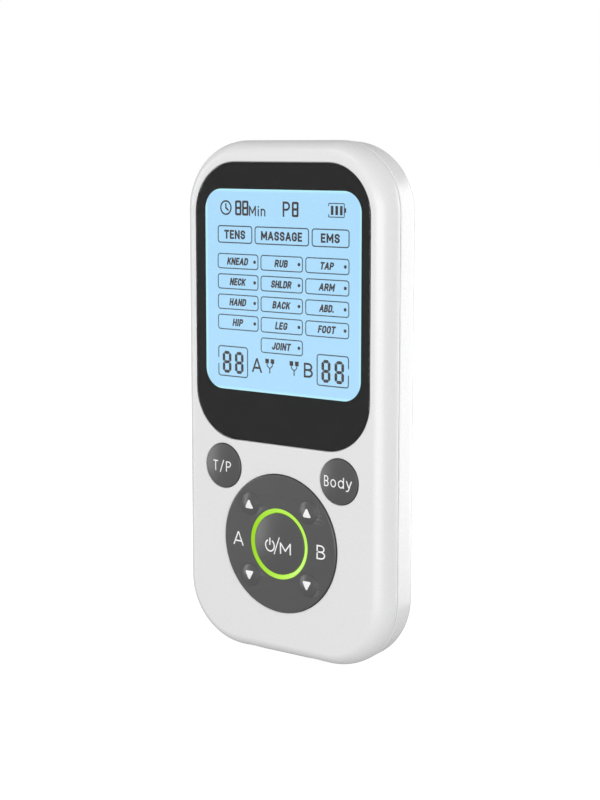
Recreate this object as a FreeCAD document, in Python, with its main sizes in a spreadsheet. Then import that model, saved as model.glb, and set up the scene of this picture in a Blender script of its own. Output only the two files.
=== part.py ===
import FreeCAD, Part
import math
import os
import re
import Sketcher

# A hand-held two-channel nerve stimulator, standing upright on its lower end.
# +Z runs up the case, +X to the user's right and +Y from the display face into the case.
# The origin is at the middle of the foot of the whole unit, keys included.
# Inside each piece a "depth" is counted from the flat display face towards the back.

SIZES = {
    # case
    "case_width": 55.8,
    "case_height": 115.2,
    "case_depth": 14.4,
    "case_corner": 15.4,
    "wall": 1.6,
    "front_rounding": 3.2,
    "back_rounding": 4.8,
    "parting_depth": 5.6,
    "parting_groove": 0.3,
    "lip_wall": 0.8,
    "lip_reach": 1.0,
    "lip_root": 1.1,
    "catch_length": 4.0,
    "catch_set_back": 0.1,
    "catch_tail": 0.3,
    "boss_floor": 1.1,
    "cutter_overrun": 1.0,
    # clearances
    "loose_fit": 0.1,
    "key_clearance": 0.15,
    "free_gap": 0.3,
    # display
    "window_width": 48.0,
    "window_tall": 61.94,
    "window_corner": 11.3,
    "window_thickness": 0.8,
    "window_margin": 4.73,
    "tape_thickness": 0.1,
    "tape_inset": 0.4,
    "screen_width": 43.0,
    "screen_tall": 44.8,
    "screen_corner": 4.6,
    "screen_drop": 5.9,
    "glass_border": 1.0,
    "glass_corner": 1.4,
    "glass_ledge": 2.6,
    "glass_thickness": 1.6,
    "backlight_thickness": 1.4,
    "reflector_thickness": 0.2,
    "frame_wall": 1.3,
    "frame_corner_share": 0.65,
    "frame_corner_drop": 7.01,
    # keys
    "pad_radius": 15.57,
    "pad_height": 26.22,
    "pad_stand": 0.4,
    "pad_flange": 1.0,
    "pad_flange_thickness": 0.8,
    "ring_inner": 7.1,
    "ring_outer": 7.97,
    "ring_stand": 0.45,
    "ring_slope": 0.19,
    "ring_flange": 0.4,
    "power_radius": 6.95,
    "key_stand": 1.0,
    "power_shoulder": 0.5,
    "arrow_radius": 2.45,
    "arrow_across": 8.1,
    "arrow_up": 8.2,
    "arrow_shoulder": 0.45,
    "side_key_radius": 5.0,
    "side_key_gap": 2.14,
    "side_key_share_across": 0.7124,
    "side_key_share_up": 0.7018,
    "side_key_stand": 0.7,
    "side_key_shoulder": 0.3,
    "key_flange": 0.5,
    "key_flange_thickness": 0.5,
    "key_travel": 0.6,
    "stem_radius": 1.8,
    "stem_depth": 3.6,
    "stem_step": 0.4,
    "plunger_radius": 1.0,
    "plunger_length": 1.6,
    "plunger_clearance": 0.12,
    "plunger_room": 0.2,
    "switch_side": 4.4,
    "led_half_width": 0.8,
    "led_half_tall": 0.5,
    "led_thickness": 0.7,
    # board and what it carries
    "board_depth": 6.4,
    "board_thickness": 1.0,
    "board_corner_step": 3.4,
    "board_margin": 4.2,
    "board_slack": 0.8,
    "post_radius": 2.2,
    "post_core": 0.8,
    "board_post_across": 22.3,
    "jack_across": 8.75,
    "jack_depth": 7.2,
    "jack_bore": 1.3,
    "jack_nose": 2.9,
    "jack_side": 5.8,
    "jack_length": 12.0,
    "jack_recess": 5.6,
    "jack_recess_deep": 1.0,
    "jack_blind_end": 1.2,
    "terminal_across": 1.6,
    "terminal_half": 0.3,
    "terminal_thickness": 0.4,
    "terminal_length": 2.2,
    "charger_width": 7.5,
    "charger_tall": 2.7,
    "charger_length": 5.2,
    "charger_skin": 0.3,
    "charger_inset": 0.8,
    "tongue_thickness": 0.6,
    "tongue_set_back": 0.6,
    "battery_width": 34.0,
    "battery_tall": 50.0,
    "battery_thickness": 3.9,
    "battery_height": 50.0,
    "battery_corner": 1.2,
    "battery_tape": 0.3,
    "tape_margin": 6.0,
    "plug_half_width": 2.6,
    "plug_tall": 4.5,
    "plug_drop": 4.0,
    "plug_past_battery_front": 1.8,
    "lead_past_battery_front": 1.0,
    "lead_radius": 0.5,
    "contact_inset": 3.0,
    # fasteners
    "screw_across": 16.5,
    "screw_height": 8.7,
    "screw_shank": 0.95,
    "screw_head": 2.1,
    "screw_head_tall": 1.4,
    "screw_well": 2.9,
    "screw_sink": 4.2,
    "screw_tip_room": 1.0,
    "screw_cross_long": 1.1,
    "screw_cross_half": 0.25,
    "screw_cross_deep": 0.7,
    "board_screw_head": 1.7,
    "board_screw_head_tall": 1.1,
    "board_screw_tip_room": 0.5,
    "boss_radius": 3.6,
    "label_width": 34.0,
    "label_tall": 40.0,
    "label_thickness": 0.15,
    "label_corner": 2.0,
    "label_height": 46.0,
}

document = FreeCAD.newDocument("stimulator")
sheet = document.addObject("Spreadsheet::Sheet", "Sizes")
for row, (alias, value) in enumerate(SIZES.items(), start=1):
    sheet.set(f"A{row}", alias)
    sheet.set(f"B{row}", str(value))
    sheet.setAlias(f"B{row}", alias)
document.recompute()

nodes = {}


# ---- expressions on the sheet ------------------------------------------------------

def size(expression):
    """The number that an expression on the sheet's names has now."""
    return float(sheet.evalExpression(str(expression)))


def linked(expression):
    """The same expression as another object of the document writes it."""
    def with_sheet(match):
        word = match.group(0)
        return "Sizes." + word if word in SIZES else word
    return re.sub(r"[a-z]\w+", with_sheet, str(expression))


def bind(thing, prop, expression):
    thing.setExpression(prop, linked(expression))


def keep(node, thing):
    """Register a finished sub-part under the name its file takes."""
    thing.Label = node
    nodes[node] = thing
    return thing


# ---- places that several pieces share ----------------------------------------------

FACE = "(0 - (case_depth - key_stand) / 2)"
INSIDE_BACK = "(case_depth - wall)"
WINDOW_TOP = "(case_height - window_margin)"
WINDOW_FOOT = f"({WINDOW_TOP} - window_tall)"
SCREEN_TOP = f"({WINDOW_TOP} - screen_drop)"
SCREEN_FOOT = f"({SCREEN_TOP} - screen_tall)"
GLASS_TOP = f"({SCREEN_TOP} + glass_border)"
GLASS_FOOT = f"({SCREEN_FOOT} - glass_ledge)"
FRAME_FOOT = f"({GLASS_FOOT} - loose_fit - frame_wall)"
FRAME_TOP = f"({GLASS_TOP} + loose_fit + frame_wall)"
GLASS_WIDTH = "(screen_width + 2 * glass_border)"
GLASS_FRONT = "(window_thickness + tape_thickness + loose_fit / 2)"
FRAME_FRONT = "(wall + loose_fit)"
GLASS_BACK = f"({GLASS_FRONT} + glass_thickness)"
PAD_BACK = "(wall + pad_flange_thickness)"
RING_BACK = f"({PAD_BACK} + ring_flange)"
SWITCH_FRONT = "(stem_depth + key_travel + free_gap)"
BOARD_BACK = "(board_depth + board_thickness)"
REAR_START = "(parting_depth + parting_groove)"
BATTERY_BACK = f"({INSIDE_BACK} - battery_tape)"
BATTERY_FRONT = f"({BATTERY_BACK} - battery_thickness)"
POST_END = "(case_depth - screw_sink)"
BOARD_INSET = "(wall + loose_fit + lip_wall + 2 * loose_fit)"
BOARD_TOP = f"(case_height - {BOARD_INSET} - board_slack)"
BOARD_POST_TOP = f"({FRAME_TOP} + post_radius + free_gap)"
BOARD_POST_LOW = f"({FRAME_FOOT} - post_radius - free_gap)"

SIDE_KEY_REACH = "(pad_radius + side_key_radius + side_key_gap)"

ARROWS = {
    "arrow_key_a_up": (-1, 1),
    "arrow_key_b_up": (1, 1),
    "arrow_key_a_down": (-1, -1),
    "arrow_key_b_down": (1, -1),
}
SIDE_KEYS = {"program_key": -1, "body_key": 1}


def arrow_place(side, level):
    """Centre of one of the four arrow keys, as X and Z expressions."""
    return f"({side} * arrow_across)", f"(pad_height + {level} * arrow_up)"


def side_key_place(side):
    """Centre of the key at the upper left or upper right of the round pad."""
    return f"({side} * side_key_share_across * {SIDE_KEY_REACH})", \
        f"(pad_height + side_key_share_up * {SIDE_KEY_REACH})"


KEY_PLACES = {"power_key": ("0", "pad_height")}
for key, (side, level) in ARROWS.items():
    KEY_PLACES[key] = arrow_place(side, level)
for key, side in SIDE_KEYS.items():
    KEY_PLACES[key] = side_key_place(side)


# ---- sketches and features ---------------------------------------------------------

def new_body(name, x="0", z="0"):
    """A body whose own Y is the depth behind the display face."""
    body = document.addObject("PartDesign::Body", name)
    bind(body, "Placement.Base.x", x)
    bind(body, "Placement.Base.y", FACE)
    bind(body, "Placement.Base.z", z)
    return body


def new_sketch(body, role, lift="0"):
    """An empty sketch on one of the body's own planes, lifted along its normal."""
    plane = next(item for item in body.Origin.OriginFeatures if item.Role == role)
    sketch = body.newObject("Sketcher::SketchObject", body.Name + "_sketch")
    sketch.AttachmentSupport = (plane, [""])
    sketch.MapMode = "FlatFace"
    bind(sketch, "AttachmentOffset.Base.z", lift)
    return sketch


def face_sketch(body, depth="0"):
    """A sketch seen from the front, at a depth behind the display face."""
    return new_sketch(body, "XZ_Plane", f"(0 - ({depth}))")


def foot_sketch(body, height="0"):
    """A sketch seen from above, at a height over the foot of the case."""
    return new_sketch(body, "XY_Plane", height)


def fix_point(sketch, piece, end, x, y):
    """Hold one point of a sketch at two expressions from the sketch's origin."""
    for kind, expression in (("DistanceX", x), ("DistanceY", y)):
        rule = Sketcher.Constraint(kind, -1, 1, piece, end, size(expression))
        index = sketch.addConstraint(rule)
        bind(sketch, f"Constraints[{index}]", expression)


def circle(sketch, x, y, radius):
    middle = FreeCAD.Vector(size(x), size(y), 0)
    normal = FreeCAD.Vector(0, 0, 1)
    ring = sketch.addGeometry(Part.Circle(middle, normal, size(radius)), False)
    fix_point(sketch, ring, 3, x, y)
    index = sketch.addConstraint(Sketcher.Constraint("Radius", ring, size(radius)))
    bind(sketch, f"Constraints[{index}]", radius)


def polygon(sketch, corners, domed=False):
    """A closed outline through the corners. A dome's first side is an arc on the Y axis."""
    points = [FreeCAD.Vector(size(x), size(y), 0) for x, y in corners]
    sides = []
    for index, start in enumerate(points):
        end = points[(index + 1) % len(points)]
        if domed and index == 0:
            rise = end.y - start.y
            middle = (end.x ** 2 + end.y ** 2 - start.y ** 2) / (2 * rise)
            crown = Part.Circle(FreeCAD.Vector(0, middle, 0), FreeCAD.Vector(0, 0, 1), middle - start.y)
            side = Part.ArcOfCircle(crown, -math.pi / 2, math.atan2(end.y - middle, end.x))
        else:
            side = Part.LineSegment(start, end)
        sides.append(sketch.addGeometry(side, False))
    for index, side in enumerate(sides):
        following = sides[(index + 1) % len(sides)]
        sketch.addConstraint(Sketcher.Constraint("Coincident", side, 2, following, 1))
        fix_point(sketch, side, 1, *corners[index])
    if domed:
        sketch.addConstraint(Sketcher.Constraint("PointOnObject", sides[0], 3, -2))


def rectangle(sketch, left, right, low, high):
    polygon(sketch, [(left, low), (right, low), (right, high), (left, high)])


def rounded(sketch, left, right, low, high, corner):
    """A rectangle with four equal round corners, tangent all the way round."""
    x0, x1, y0, y1, r = (size(item) for item in (left, right, low, high, corner))
    turns = ((x0 + r, y0 + r, 2), (x1 - r, y0 + r, 3), (x1 - r, y1 - r, 0), (x0 + r, y1 - r, 1))
    arcs = []
    for x, y, quarter in turns:
        bend = Part.Circle(FreeCAD.Vector(x, y, 0), FreeCAD.Vector(0, 0, 1), r)
        start = quarter * math.pi / 2
        arcs.append(sketch.addGeometry(Part.ArcOfCircle(bend, start, start + math.pi / 2), False))
    ends = (((x0 + r, y0), (x1 - r, y0)), ((x1, y0 + r), (x1, y1 - r)),
            ((x1 - r, y1), (x0 + r, y1)), ((x0, y1 - r), (x0, y0 + r)))
    lines = []
    for start, end in ends:
        segment = Part.LineSegment(FreeCAD.Vector(*start, 0), FreeCAD.Vector(*end, 0))
        lines.append(sketch.addGeometry(segment, False))
    for index, line in enumerate(lines):
        sketch.addConstraint(Sketcher.Constraint("Tangent", arcs[index], 2, line, 1))
        sketch.addConstraint(Sketcher.Constraint("Tangent", line, 2, arcs[(index + 1) % 4], 1))
        level = "Horizontal" if index % 2 == 0 else "Vertical"
        sketch.addConstraint(Sketcher.Constraint(level, line))
    for arc in arcs[1:]:
        sketch.addConstraint(Sketcher.Constraint("Equal", arcs[0], arc))
    radius = sketch.addConstraint(Sketcher.Constraint("Radius", arcs[0], r))
    bind(sketch, f"Constraints[{radius}]", corner)
    edges = (("DistanceX", lines[3], left), ("DistanceX", lines[1], right),
             ("DistanceY", lines[0], low), ("DistanceY", lines[2], high))
    for kind, line, expression in edges:
        rule = Sketcher.Constraint(kind, -1, 1, line, 1, size(expression))
        index = sketch.addConstraint(rule)
        bind(sketch, f"Constraints[{index}]", expression)


def case_outline(sketch, inset):
    """The case's outline, moved inwards by an expression."""
    half = f"(case_width / 2 - ({inset}))"
    rounded(sketch, f"(0 - {half})", half, f"({inset})", f"(case_height - ({inset}))",
            f"(case_corner - ({inset}))")


def pad(body, sketch, length, upwards=False):
    """Grow a sketch backwards from its depth, or upwards from its height."""
    feature = body.newObject("PartDesign::Pad", body.Name + "_pad")
    feature.Profile = sketch
    feature.Reversed = not upwards
    bind(feature, "Length", length)
    document.recompute()
    return feature


def pocket(body, sketch, length=None, upwards=False):
    """Cut a sketch backwards or upwards, to a length or right through."""
    before = body.Shape.Volume
    feature = body.newObject("PartDesign::Pocket", body.Name + "_pocket")
    feature.Profile = sketch
    feature.Reversed = upwards
    if length is None:
        feature.Type = "ThroughAll"
    else:
        bind(feature, "Length", length)
    document.recompute()
    if body.Shape.Volume > before - 1e-6:
        raise RuntimeError(feature.Name + " cuts nothing")
    return feature


def round_face(body, radius, depth):
    """Round all the edges of the largest flat face that lies at a depth."""
    base = body.Tip
    faces = []
    for index, face in enumerate(base.Shape.Faces, start=1):
        flat = face.BoundBox.YLength < 1e-4
        if flat and abs(face.BoundBox.Center.y - size(depth)) < 1e-4:
            faces.append((face.Area, f"Face{index}"))
    feature = body.newObject("PartDesign::Fillet", body.Name + "_rounding")
    feature.Base = (base, [max(faces)[1]])
    bind(feature, "Radius", radius)
    document.recompute()
    return feature


def revolve(body, corners, domed=False):
    """Turn a profile of radius and depth round the body's own Y axis."""
    sketch = new_sketch(body, "XY_Plane")
    polygon(sketch, corners, domed)
    feature = body.newObject("PartDesign::Revolution", body.Name + "_turned")
    feature.Profile = sketch
    feature.ReferenceAxis = (sketch, ["V_Axis"])
    feature.Angle = 360
    document.recompute()
    return feature


# ---- plain solids and groups -------------------------------------------------------

def block(name, left, right, front, back, low, high):
    """A box between two sides, two depths and two heights."""
    box = document.addObject("Part::Box", name)
    bind(box, "Length", f"({right}) - ({left})")
    bind(box, "Width", f"({back}) - ({front})")
    bind(box, "Height", f"({high}) - ({low})")
    bind(box, "Placement.Base.x", left)
    bind(box, "Placement.Base.y", f"{FACE} + ({front})")
    bind(box, "Placement.Base.z", low)
    return box


def rod(name, x, z, radius, front, back):
    """A cylinder along the depth."""
    bar = document.addObject("Part::Cylinder", name)
    bar.Placement.Rotation = FreeCAD.Rotation(FreeCAD.Vector(1, 0, 0), -90)
    bind(bar, "Radius", radius)
    bind(bar, "Height", f"({back}) - ({front})")
    bind(bar, "Placement.Base.x", x)
    bind(bar, "Placement.Base.y", f"{FACE} + ({front})")
    bind(bar, "Placement.Base.z", z)
    return bar


def column(name, x, depth, radius, low, high):
    """A cylinder along the height."""
    bar = document.addObject("Part::Cylinder", name)
    bind(bar, "Radius", radius)
    bind(bar, "Height", f"({high}) - ({low})")
    bind(bar, "Placement.Base.x", x)
    bind(bar, "Placement.Base.y", f"{FACE} + ({depth})")
    bind(bar, "Placement.Base.z", low)
    return bar


def cut(name, base, tools):
    tool = tools[0]
    if len(tools) > 1:
        tool = document.addObject("Part::MultiFuse", name + "_tools")
        tool.Shapes = tools
    result = document.addObject("Part::Cut", name)
    result.Base = base
    result.Tool = tool
    return result


def fuse(name, shapes):
    result = document.addObject("Part::MultiFuse", name)
    result.Shapes = shapes
    return result


def group(name, shapes):
    """Several like solids that share one node."""
    result = document.addObject("Part::Compound", name)
    result.Links = shapes
    return result


# ---- front shell -------------------------------------------------------------------
# White moulding: flat display face with a rounded rim, the window's recess, the
# opening that the display's glass comes through, the round key pad's hole, two key
# holes and the posts behind.

front = new_body("front_shell")
outline = face_sketch(front)
case_outline(outline, "0")
pad(front, outline, "parting_depth")
round_face(front, "front_rounding", "0")

hollow = face_sketch(front, "wall")
case_outline(hollow, "wall")
pocket(front, hollow)

recess = face_sketch(front)
WINDOW_HALF = "(window_width / 2 + loose_fit)"
rounded(recess, f"(0 - {WINDOW_HALF})", WINDOW_HALF, f"({WINDOW_FOOT} - loose_fit)",
        f"({WINDOW_TOP} + loose_fit)", "(window_corner + loose_fit)")
pocket(front, recess, "(window_thickness + tape_thickness)")

GLASS_HALF = f"({GLASS_WIDTH} / 2 + loose_fit)"
openings = face_sketch(front)
rounded(openings, f"(0 - {GLASS_HALF})", GLASS_HALF, f"({GLASS_FOOT} - loose_fit)",
        f"({GLASS_TOP} + loose_fit)", "(glass_corner + loose_fit)")
circle(openings, "0", "pad_height", "(pad_radius + key_clearance)")
for key in SIDE_KEYS:
    circle(openings, *KEY_PLACES[key], "(side_key_radius + key_clearance)")
pocket(front, openings)

BOARD_POSTS = (("0", BOARD_POST_TOP),
               ("(0 - board_post_across)", BOARD_POST_LOW),
               ("board_post_across", BOARD_POST_LOW))
CASE_POSTS = (("(0 - screw_across)", "screw_height"), ("screw_across", "screw_height"))
for places, end, core in ((BOARD_POSTS, "board_depth", "post_core"),
                          (CASE_POSTS, POST_END, "(screw_shank + loose_fit / 2)")):
    posts = face_sketch(front, "(wall - loose_fit)")
    for x, z in places:
        circle(posts, x, z, "post_radius")
    pad(front, posts, f"({end} - wall + loose_fit)")
    cores = face_sketch(front, "(2 * wall)")
    for x, z in places:
        circle(cores, x, z, core)
    pocket(front, cores)

CATCH_RIGHT = "(case_width / 2 - case_corner)"
CATCH_LEFT = f"({CATCH_RIGHT} - catch_length)"
CATCH_LOW, CATCH_HIGH = "(case_height - wall)", "(case_height - wall / 2)"
CATCH_FRONT = "(parting_depth - lip_reach + catch_set_back)"
CATCH_BACK = "(parting_depth - catch_tail)"
notches = face_sketch(front, f"({CATCH_FRONT} - loose_fit)")
for left, right in ((CATCH_LEFT, CATCH_RIGHT), (f"(0 - {CATCH_RIGHT})", f"(0 - {CATCH_LEFT})")):
    rectangle(notches, f"({left} - loose_fit)", f"({right} + loose_fit)",
              f"({CATCH_LOW} - loose_fit)", f"({CATCH_HIGH} + loose_fit)")
pocket(front, notches, f"({CATCH_BACK} - {CATCH_FRONT} + 2 * loose_fit)")


def cut_jack_ways(body):
    """Round recesses round the two output sockets and the holes for their noses."""
    for radius, deep in (("jack_recess", "jack_recess_deep"),
                         ("(jack_nose + loose_fit)", "(wall + loose_fit)")):
        mouths = foot_sketch(body)
        for side in (-1, 1):
            circle(mouths, f"({side} * jack_across)", "jack_depth", radius)
        pocket(body, mouths, deep, upwards=True)


cut_jack_ways(front)
keep("front_shell", front)

# ---- rear shell --------------------------------------------------------------------
# White moulding with a large radius round its back, a lip that enters the front shell,
# two catches on the lip, two screw wells, the charging slot and the label's recess.

rear = new_body("rear_shell")
outline = face_sketch(rear, REAR_START)
case_outline(outline, "0")
pad(rear, outline, f"(case_depth - {REAR_START})")
round_face(rear, "back_rounding", "case_depth")
hollow = face_sketch(rear, REAR_START)
case_outline(hollow, "wall")
pocket(rear, hollow, f"({INSIDE_BACK} - {REAR_START})")
round_face(rear, "(back_rounding - wall)", INSIDE_BACK)

LIP_OUTER = "(wall + loose_fit)"
LIP_INNER = f"({LIP_OUTER} + lip_wall)"
LIP_FRONT = "(parting_depth - lip_reach)"
lip = face_sketch(rear, LIP_FRONT)
case_outline(lip, LIP_OUTER)
case_outline(lip, LIP_INNER)
root = face_sketch(rear, REAR_START)
case_outline(root, "(wall / 2)")
case_outline(root, LIP_INNER)
pad(rear, root, "lip_root")
pad(rear, lip, f"({REAR_START} - {LIP_FRONT} + loose_fit)")

catches = face_sketch(rear, CATCH_FRONT)
for left, right in ((CATCH_LEFT, CATCH_RIGHT), (f"(0 - {CATCH_RIGHT})", f"(0 - {CATCH_LEFT})")):
    rectangle(catches, left, right, f"(case_height - {LIP_INNER})", CATCH_HIGH)
pad(rear, catches, f"({CATCH_BACK} - {CATCH_FRONT})")

BOSS_FRONT = f"({POST_END} + loose_fit)"
WELL_FLOOR = f"({BOSS_FRONT} + boss_floor)"
bosses = face_sketch(rear, BOSS_FRONT)
for x, z in CASE_POSTS:
    circle(bosses, x, z, "boss_radius")
pad(rear, bosses, f"(case_depth - wall / 2 - {BOSS_FRONT})")
wells = face_sketch(rear, WELL_FLOOR)
holes = face_sketch(rear, LIP_FRONT)
for x, z in CASE_POSTS:
    circle(wells, x, z, "screw_well")
    circle(holes, x, z, "(screw_shank + 2 * loose_fit)")
pocket(rear, wells)
pocket(rear, holes)

label_recess = face_sketch(rear, "(case_depth - label_thickness)")
LABEL_HALF = "(label_width / 2 + loose_fit)"
rounded(label_recess, f"(0 - {LABEL_HALF})", LABEL_HALF, "(label_height - loose_fit)",
        "(label_height + label_tall + loose_fit)", "label_corner")
pocket(rear, label_recess)

cut_jack_ways(rear)
sockets = foot_sketch(rear, "(wall - loose_fit)")
JACK_HALF = "(jack_side / 2 + loose_fit)"
for side in (-1, 1):
    rectangle(sockets, f"({side} * jack_across - {JACK_HALF})", f"({side} * jack_across + {JACK_HALF})",
              f"(jack_depth - {JACK_HALF})", f"(jack_depth + {JACK_HALF})")
pocket(rear, sockets, "(lip_wall + 4 * loose_fit)", upwards=True)
charger_slot = foot_sketch(rear)
CHARGER_HALF = "(charger_width / 2 + 2 * loose_fit)"
CHARGER_FRONT, CHARGER_BACK = BOARD_BACK, f"({BOARD_BACK} + charger_tall)"
rounded(charger_slot, f"(0 - {CHARGER_HALF})", CHARGER_HALF, f"({CHARGER_FRONT} - 2 * loose_fit)",
        f"({CHARGER_BACK} + 2 * loose_fit)", "2 * loose_fit")
pocket(rear, charger_slot, "(2 * wall)", upwards=True)
keep("rear_shell", rear)


# ---- flat pieces with rounded outlines ---------------------------------------------

def plate(node, width, low, high, corner, front_depth, thickness, hole=None):
    """A rounded plate across the middle of the case, with an optional rounded hole."""
    body = new_body(node)
    shape = face_sketch(body, front_depth)
    half = f"(({width}) / 2)"
    rounded(shape, f"(0 - {half})", half, low, high, corner)
    if hole:
        hole_width, hole_low, hole_high, hole_corner = hole
        half = f"(({hole_width}) / 2)"
        rounded(shape, f"(0 - {half})", half, hole_low, hole_high, hole_corner)
    pad(body, shape, thickness)
    return keep(node, body)


plate("display_window", "window_width", WINDOW_FOOT, WINDOW_TOP, "window_corner",
      "0", "window_thickness")
SCREEN_HOLE = ("screen_width", SCREEN_FOOT, SCREEN_TOP, "screen_corner")
plate("window_tape", "(window_width - 2 * tape_inset)", f"({WINDOW_FOOT} + tape_inset)",
      f"({WINDOW_TOP} - tape_inset)", "(window_corner - tape_inset)", "window_thickness",
      "tape_thickness", SCREEN_HOLE)
plate("lcd_glass", GLASS_WIDTH, GLASS_FOOT, GLASS_TOP, "glass_corner", GLASS_FRONT,
      "glass_thickness")
LIGHT_FOOT = f"({SCREEN_FOOT} - loose_fit)"
LIGHT_FRONT = f"({GLASS_BACK} + loose_fit)"
LIGHT_BACK = f"({LIGHT_FRONT} + backlight_thickness)"
plate("lcd_backlight", GLASS_WIDTH, LIGHT_FOOT, GLASS_TOP, "glass_corner", LIGHT_FRONT,
      "backlight_thickness")
plate("backlight_reflector", GLASS_WIDTH, LIGHT_FOOT, GLASS_TOP, "glass_corner",
      f"({LIGHT_BACK} + loose_fit / 2)", "reflector_thickness")
FRAME_HOLE = (f"({GLASS_WIDTH} + 2 * loose_fit)", f"({GLASS_FOOT} - loose_fit)",
              f"({GLASS_TOP} + loose_fit)", "(glass_corner + loose_fit)")
plate("lcd_frame", f"({GLASS_WIDTH} + 2 * loose_fit + 2 * frame_wall)", FRAME_FOOT, FRAME_TOP,
      "(frame_corner_share * case_corner - frame_corner_drop)", FRAME_FRONT,
      f"(board_depth - {FRAME_FRONT})", FRAME_HOLE)
STRIP_HALF = f"({GLASS_WIDTH} / 2 - contact_inset)"
strip = block("lcd_contact_strip", f"(0 - {STRIP_HALF})", STRIP_HALF, GLASS_BACK, "board_depth",
              f"({GLASS_FOOT} + 3 * loose_fit)", f"({LIGHT_FOOT} - 2 * loose_fit)")
keep("lcd_contact_strip", strip)

# ---- main board --------------------------------------------------------------------
# Green laminate on three posts. Its lower edge is cut away round the two output
# sockets and holed for the two case screw posts.

board = new_body("main_board")
shape = face_sketch(board, "board_depth")
BOARD_HALF = f"(case_width / 2 - {BOARD_INSET})"
rounded(shape, f"(0 - {BOARD_HALF})", BOARD_HALF, "board_margin", BOARD_TOP,
        "(case_corner - board_corner_step)")
pad(board, shape, "board_thickness")
holes = face_sketch(board, "board_depth")
for x, z in CASE_POSTS:
    circle(holes, x, z, "(post_radius + free_gap)")
for x, z in BOARD_POSTS:
    circle(holes, x, z, "(post_core + loose_fit)")
JACK_CUT = "(jack_side / 2 + free_gap)"
JACK_TOP = "(jack_recess_deep + jack_length)"
for side in (-1, 1):
    rectangle(holes, f"({side} * jack_across - {JACK_CUT})", f"({side} * jack_across + {JACK_CUT})",
              "(board_margin - cutter_overrun)", f"({JACK_TOP} + free_gap)")
pocket(board, holes)
keep("main_board", board)

# ---- keys --------------------------------------------------------------------------
# The grey pad is glued in from behind. Each key is a domed cap on a flange that the
# pad, the ring or the shell keeps in, with a stem that rests on its switch's plunger.

round_pad = new_body("pad_disc", "0", "pad_height")
PAD_EDGE = "(pad_radius + pad_flange)"
PAD_HOLE = "(ring_outer + loose_fit / 2)"
PAD_FRONT = "(0 - pad_stand)"
revolve(round_pad, [(PAD_HOLE, PAD_FRONT), ("pad_radius", PAD_FRONT), ("pad_radius", "wall"),
                    (PAD_EDGE, "wall"), (PAD_EDGE, PAD_BACK), (PAD_HOLE, PAD_BACK)])
wells = face_sketch(round_pad, "(0 - pad_stand - cutter_overrun)")
for side, level in ARROWS.values():
    circle(wells, f"({side} * arrow_across)", f"({level} * arrow_up)",
           "(arrow_radius + key_clearance)")
pocket(round_pad, wells)
keep("pad_disc", round_pad)

ring = new_body("light_ring", "0", "pad_height")
RING_LIP = "(ring_outer + ring_flange)"
revolve(ring, [("ring_inner", "(ring_slope - ring_stand)"), ("ring_outer", "(0 - ring_stand)"),
               ("ring_outer", PAD_BACK), (RING_LIP, PAD_BACK), (RING_LIP, RING_BACK),
               ("ring_inner", RING_BACK)])
keep("light_ring", ring)


def key_cap(node, radius, stand, shoulder, held_by):
    """A domed cap, its flange just behind the piece that holds it, and its stem."""
    body = new_body(node, *KEY_PLACES[node])
    flange_front = f"({held_by} + loose_fit)"
    flange_back = f"({flange_front} + key_flange_thickness)"
    flange = f"({radius} + key_flange)"
    stem = f"min(stem_radius; {radius} - stem_step)"
    revolve(body, [("0", f"(0 - {stand})"), (radius, f"({shoulder} - {stand})"),
                   (radius, flange_front), (flange, flange_front), (flange, flange_back),
                   (stem, flange_back), (stem, "stem_depth"), ("0", "stem_depth")], domed=True)
    keep(node, body)


key_cap("power_key", "power_radius", "key_stand", "power_shoulder", RING_BACK)
for key in ARROWS:
    key_cap(key, "arrow_radius", "key_stand", "arrow_shoulder", PAD_BACK)
for key in SIDE_KEYS:
    key_cap(key, "side_key_radius", "side_key_stand", "side_key_shoulder", "wall")

switches = []
for key, (x, z) in KEY_PLACES.items():
    plunger = key.replace("_key", "") + "_plunger"
    keep(plunger, rod(plunger, x, z, "plunger_radius", "stem_depth", "(stem_depth + plunger_length)"))
    half = "(switch_side / 2)"
    case = block(key + "_switch", f"({x} - {half})", f"({x} + {half})", SWITCH_FRONT, "board_depth",
                 f"({z} - {half})", f"({z} + {half})")
    way = rod(key + "_switch_way", x, z, "(plunger_radius + plunger_clearance)",
              f"({SWITCH_FRONT} - cutter_overrun)",
              "(stem_depth + plunger_length + key_travel + plunger_room)")
    switches.append(cut(key + "_switch_case", case, [way]))
keep("switch_bodies", group("switch_bodies", switches))

leds = []
for number in range(4):
    turn = math.radians(90 * number)
    x = f"({round(math.sin(turn))} * (ring_inner + ring_outer) / 2)"
    z = f"(pad_height + {round(math.cos(turn))} * (ring_inner + ring_outer) / 2)"
    leds.append(block(f"led_{number}", f"({x} - led_half_width)", f"({x} + led_half_width)",
                      "(board_depth - led_thickness)", "board_depth", f"({z} - led_half_tall)",
                      f"({z} + led_half_tall)"))
keep("ring_leds", group("ring_leds", leds))

# ---- sockets in the lower end ------------------------------------------------------

terminals = []
for letter, side in (("a", -1), ("b", 1)):
    x = f"({side} * jack_across)"
    half = "(jack_side / 2)"
    name = "output_jack_" + letter
    housing = block(name + "_housing", f"({x} - {half})", f"({x} + {half})",
                    f"(jack_depth - {half})", f"(jack_depth + {half})",
                    "(wall + loose_fit)", JACK_TOP)
    nose = column(name + "_nose", x, "jack_depth", "jack_nose", "jack_recess_deep",
                  "(wall + 3 * loose_fit)")
    bore = column(name + "_bore", x, "jack_depth", "jack_bore", "0", f"({JACK_TOP} - jack_blind_end)")
    keep(name, cut(name, fuse(name + "_body", [housing, nose]), [bore]))
    for place in (-1, 1):
        at = f"({x} + {place} * terminal_across)"
        terminals.append(block(name + "_terminal", f"({at} - terminal_half)", f"({at} + terminal_half)",
                               BOARD_BACK, f"({BOARD_BACK} + terminal_thickness)",
                               JACK_TOP, f"({JACK_TOP} + terminal_length)"))
keep("jack_terminals", group("jack_terminals", terminals))

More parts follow.
